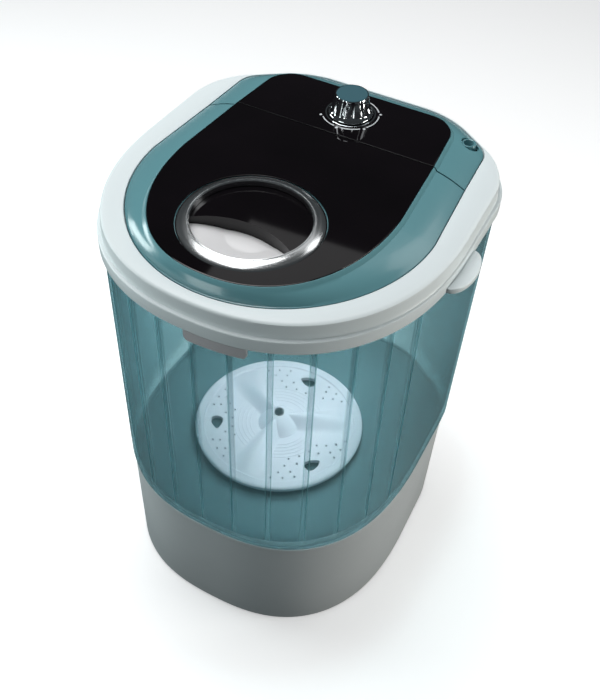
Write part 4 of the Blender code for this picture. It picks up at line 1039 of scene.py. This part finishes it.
def knob_shape(shape):
    """A fluted, tapering knob on a round skirt, open below for its shaft."""
    count = 240
    low, high = KNOB_LOW.z, KNOB_HIGH.z

    def fluted(radius, depth):
        points = []
        for k in range(count):
            turn = 2 * pi * k / count
            wave = max(0.0, cos(FLUTES * turn)) ** 3
            reach = radius - depth * wave
            points.append((reach * cos(turn), reach * sin(turn)))
        return points

    rows = [
        (SHAFT_BORE_R, low, 0.0), (KNOB_R - 0.0006, low, 0.0), (KNOB_R, low + 0.0006, 0.0),
        (KNOB_R, low + 0.0018, 0.0), (KNOB_R - 0.0008, low + 0.0028, 0.0), (0.0226, low + 0.0040, 0.0),
        (0.0220, low + 0.0060, 0.0010), (0.0206, low + 0.0120, 0.0014), (0.0190, low + 0.0185, 0.0013),
        (0.0183, high - 0.0026, 0.0008), (0.0181, high - 0.0010, 0.0003), (0.0178, high - 0.0003, 0.0),
        (0.0173, high - 0.0003, 0.0), (0.0173, high - 0.0026, 0.0),
        (SHAFT_BORE_R, high - 0.0026, 0.0),
    ]
    rings = [ring_of(shape, level(fluted(radius, depth), z)) for radius, z, depth in rows]
    for here, there in zip(rings, rings[1:] + rings[:1]):
        bridge(shape, here, there)


def make_knob(paint):
    piece("knob_body", knob_shape, paint["mirror"], "knob", ["timer_knob"], KNOB_AT, 40)
    top = KNOB_HIGH.z
    piece("knob_inlay", turned([
        (0.0, top - 0.0022), (0.0170, top - 0.0022), (0.0170, top - 0.0006), (0.0164, top), (0.0, top),
    ]), paint["cap"], "knob", ["knob_cap"], KNOB_AT)


# ---- nodes kept from the frame
def finish_kept_nodes(paint):
    """Give each node that no piece stands for the finish of its slot."""
    by_slot = {
        "grey_plastic": "base", "dark_plastic": "under", "white_plastic": "white",
        "teal_plastic": "teal", "clear_teal_plastic": "tub", "pale_plastic": "pulsator",
        "black_gloss": "black", "satin_chrome": "mirror", "silver_plastic": "silver",
        "steel": "steel", "zinc_plate": "zinc", "bronze": "bronze", "rubber": "rubber",
    }
    for part in frame["record"]["subparts"]:
        node = frame["nodes"][part["node"]]
        node.data.materials.clear()
        node.data.materials.append(paint[by_slot[part["material_slot"]]])


# ---- studio
def emitter(name, place, aim, size, power, colour=(1, 1, 1)):
    """A softbox, unseen by the camera. With no aim it faces straight down."""
    lamp = bpy.data.lights.new(name, "AREA")
    lamp.shape = "RECTANGLE"
    lamp.size, lamp.size_y = size
    lamp.energy = power
    lamp.color = colour
    made = bpy.data.objects.new(name, lamp)
    made.location = place
    if aim:
        made.rotation_euler = (Vector(aim) - Vector(place)).to_track_quat("-Z", "Y").to_euler()
    made.visible_camera = False
    bpy.context.scene.collection.objects.link(made)
    return made


def make_studio():
    half, top, thick = 6, -0.0001, 0.010
    corners = [(-half, -half), (half, -half), (half, half), (-half, half)]
    floor = mesh_object("floor", prism(corners, top - thick, top), at=(0.0, -ORIGIN_Y, 0.0))
    floor_finish, tree, shader = shader_of("pale_floor")
    shader.inputs["Base Color"].default_value = (0.90, 0.91, 0.92, 1.0)
    shader.inputs["Roughness"].default_value = 0.6
    shader.inputs["Emission Color"].default_value = (1.0, 1.0, 1.0, 1.0)
    shader.inputs["Emission Strength"].default_value = 0.42
    floor.data.materials.append(floor_finish)
    floor.visible_diffuse = False
    floor.visible_glossy = False

    world = bpy.data.worlds.new("studio")
    world.use_nodes = True
    background = world.node_tree.nodes["Background"].inputs
    background["Color"].default_value = (0.80, 0.90, 0.95, 1.0)
    background["Strength"].default_value = 0.05
    bpy.context.scene.world = world
    emitter("key", (-0.45, 0.15, 2.2), (0.0, 0.0, 0.4), (1.2, 1.3), 29)
    card = emitter("lid_card", (-0.10, 0.84 + ORIGIN_Y, 1.6), None, (1.10, 0.535), 1.05)
    card.rotation_euler = (0.0, 0.0, radians(3.8))
    emitter("rear_right", (0.95, 1.4, 2.0), (0.0, 0.0, 0.55), (0.7, 0.7), 3.4)
    emitter("side", (1.6, 0.45, 0.25), (0.0, 0.0, 0.05), (0.8, 0.8), 21, (1.0, 0.97, 0.92))
    emitter("fill", (-1.7, -0.25, 0.35), (0.0, 0.0, 0.20), (0.8, 0.8), 15, (0.90, 1.0, 1.0))
    emitter("front", (-0.6, -1.7, 0.5), (0.0, 0.0, 0.35), (0.8, 0.8), 7, (0.92, 1.0, 1.0))
    inside = emitter("tub_glow", (0.05, ORIGIN_Y + 0.03, 0.47), (0.0, ORIGIN_Y, 0.17), (0.12, 0.12), 1.3)
    inside.visible_glossy = False


SENSOR = 36.0
FOCAL_PX, FRAME_PX = 970, 700  # focal length and frame height, in pixels of the frame


def make_camera():
    """The camera looks from the front right, from well above the lid, with a slight roll."""
    azimuth, elevation, roll = radians(26.02), radians(46.25), radians(2.89)
    distance, slide_right, slide_up = 1.1708, -0.0209, -0.0222
    target = Vector((0.0, ORIGIN_Y, 0.27))
    back = Vector((sin(azimuth) * cos(elevation), -cos(azimuth) * cos(elevation), sin(elevation)))
    right = Vector((cos(azimuth), sin(azimuth), 0.0))
    up = back.cross(right)
    side = right * cos(roll) + up * sin(roll)
    top = -right * sin(roll) + up * cos(roll)
    lens = bpy.data.cameras.new("camera")
    lens.sensor_fit = "VERTICAL"
    lens.sensor_height = SENSOR
    lens.lens = FOCAL_PX / FRAME_PX * SENSOR
    camera = bpy.data.objects.new("camera", lens)
    turn = Matrix((side, top, back)).transposed().to_4x4()
    turn.translation = target + back * distance - side * slide_right - top * slide_up
    camera.matrix_world = turn
    bpy.context.scene.collection.objects.link(camera)
    bpy.context.scene.camera = camera
    bpy.context.scene.view_settings.view_transform = "Standard"


paint = make_finishes()
finish_kept_nodes(paint)
make_base(paint)
make_tub(paint)
make_pulsator(paint)
make_collar(paint)
make_deck(paint)
make_lid(paint)
make_knob(paint)
make_studio()
make_camera()
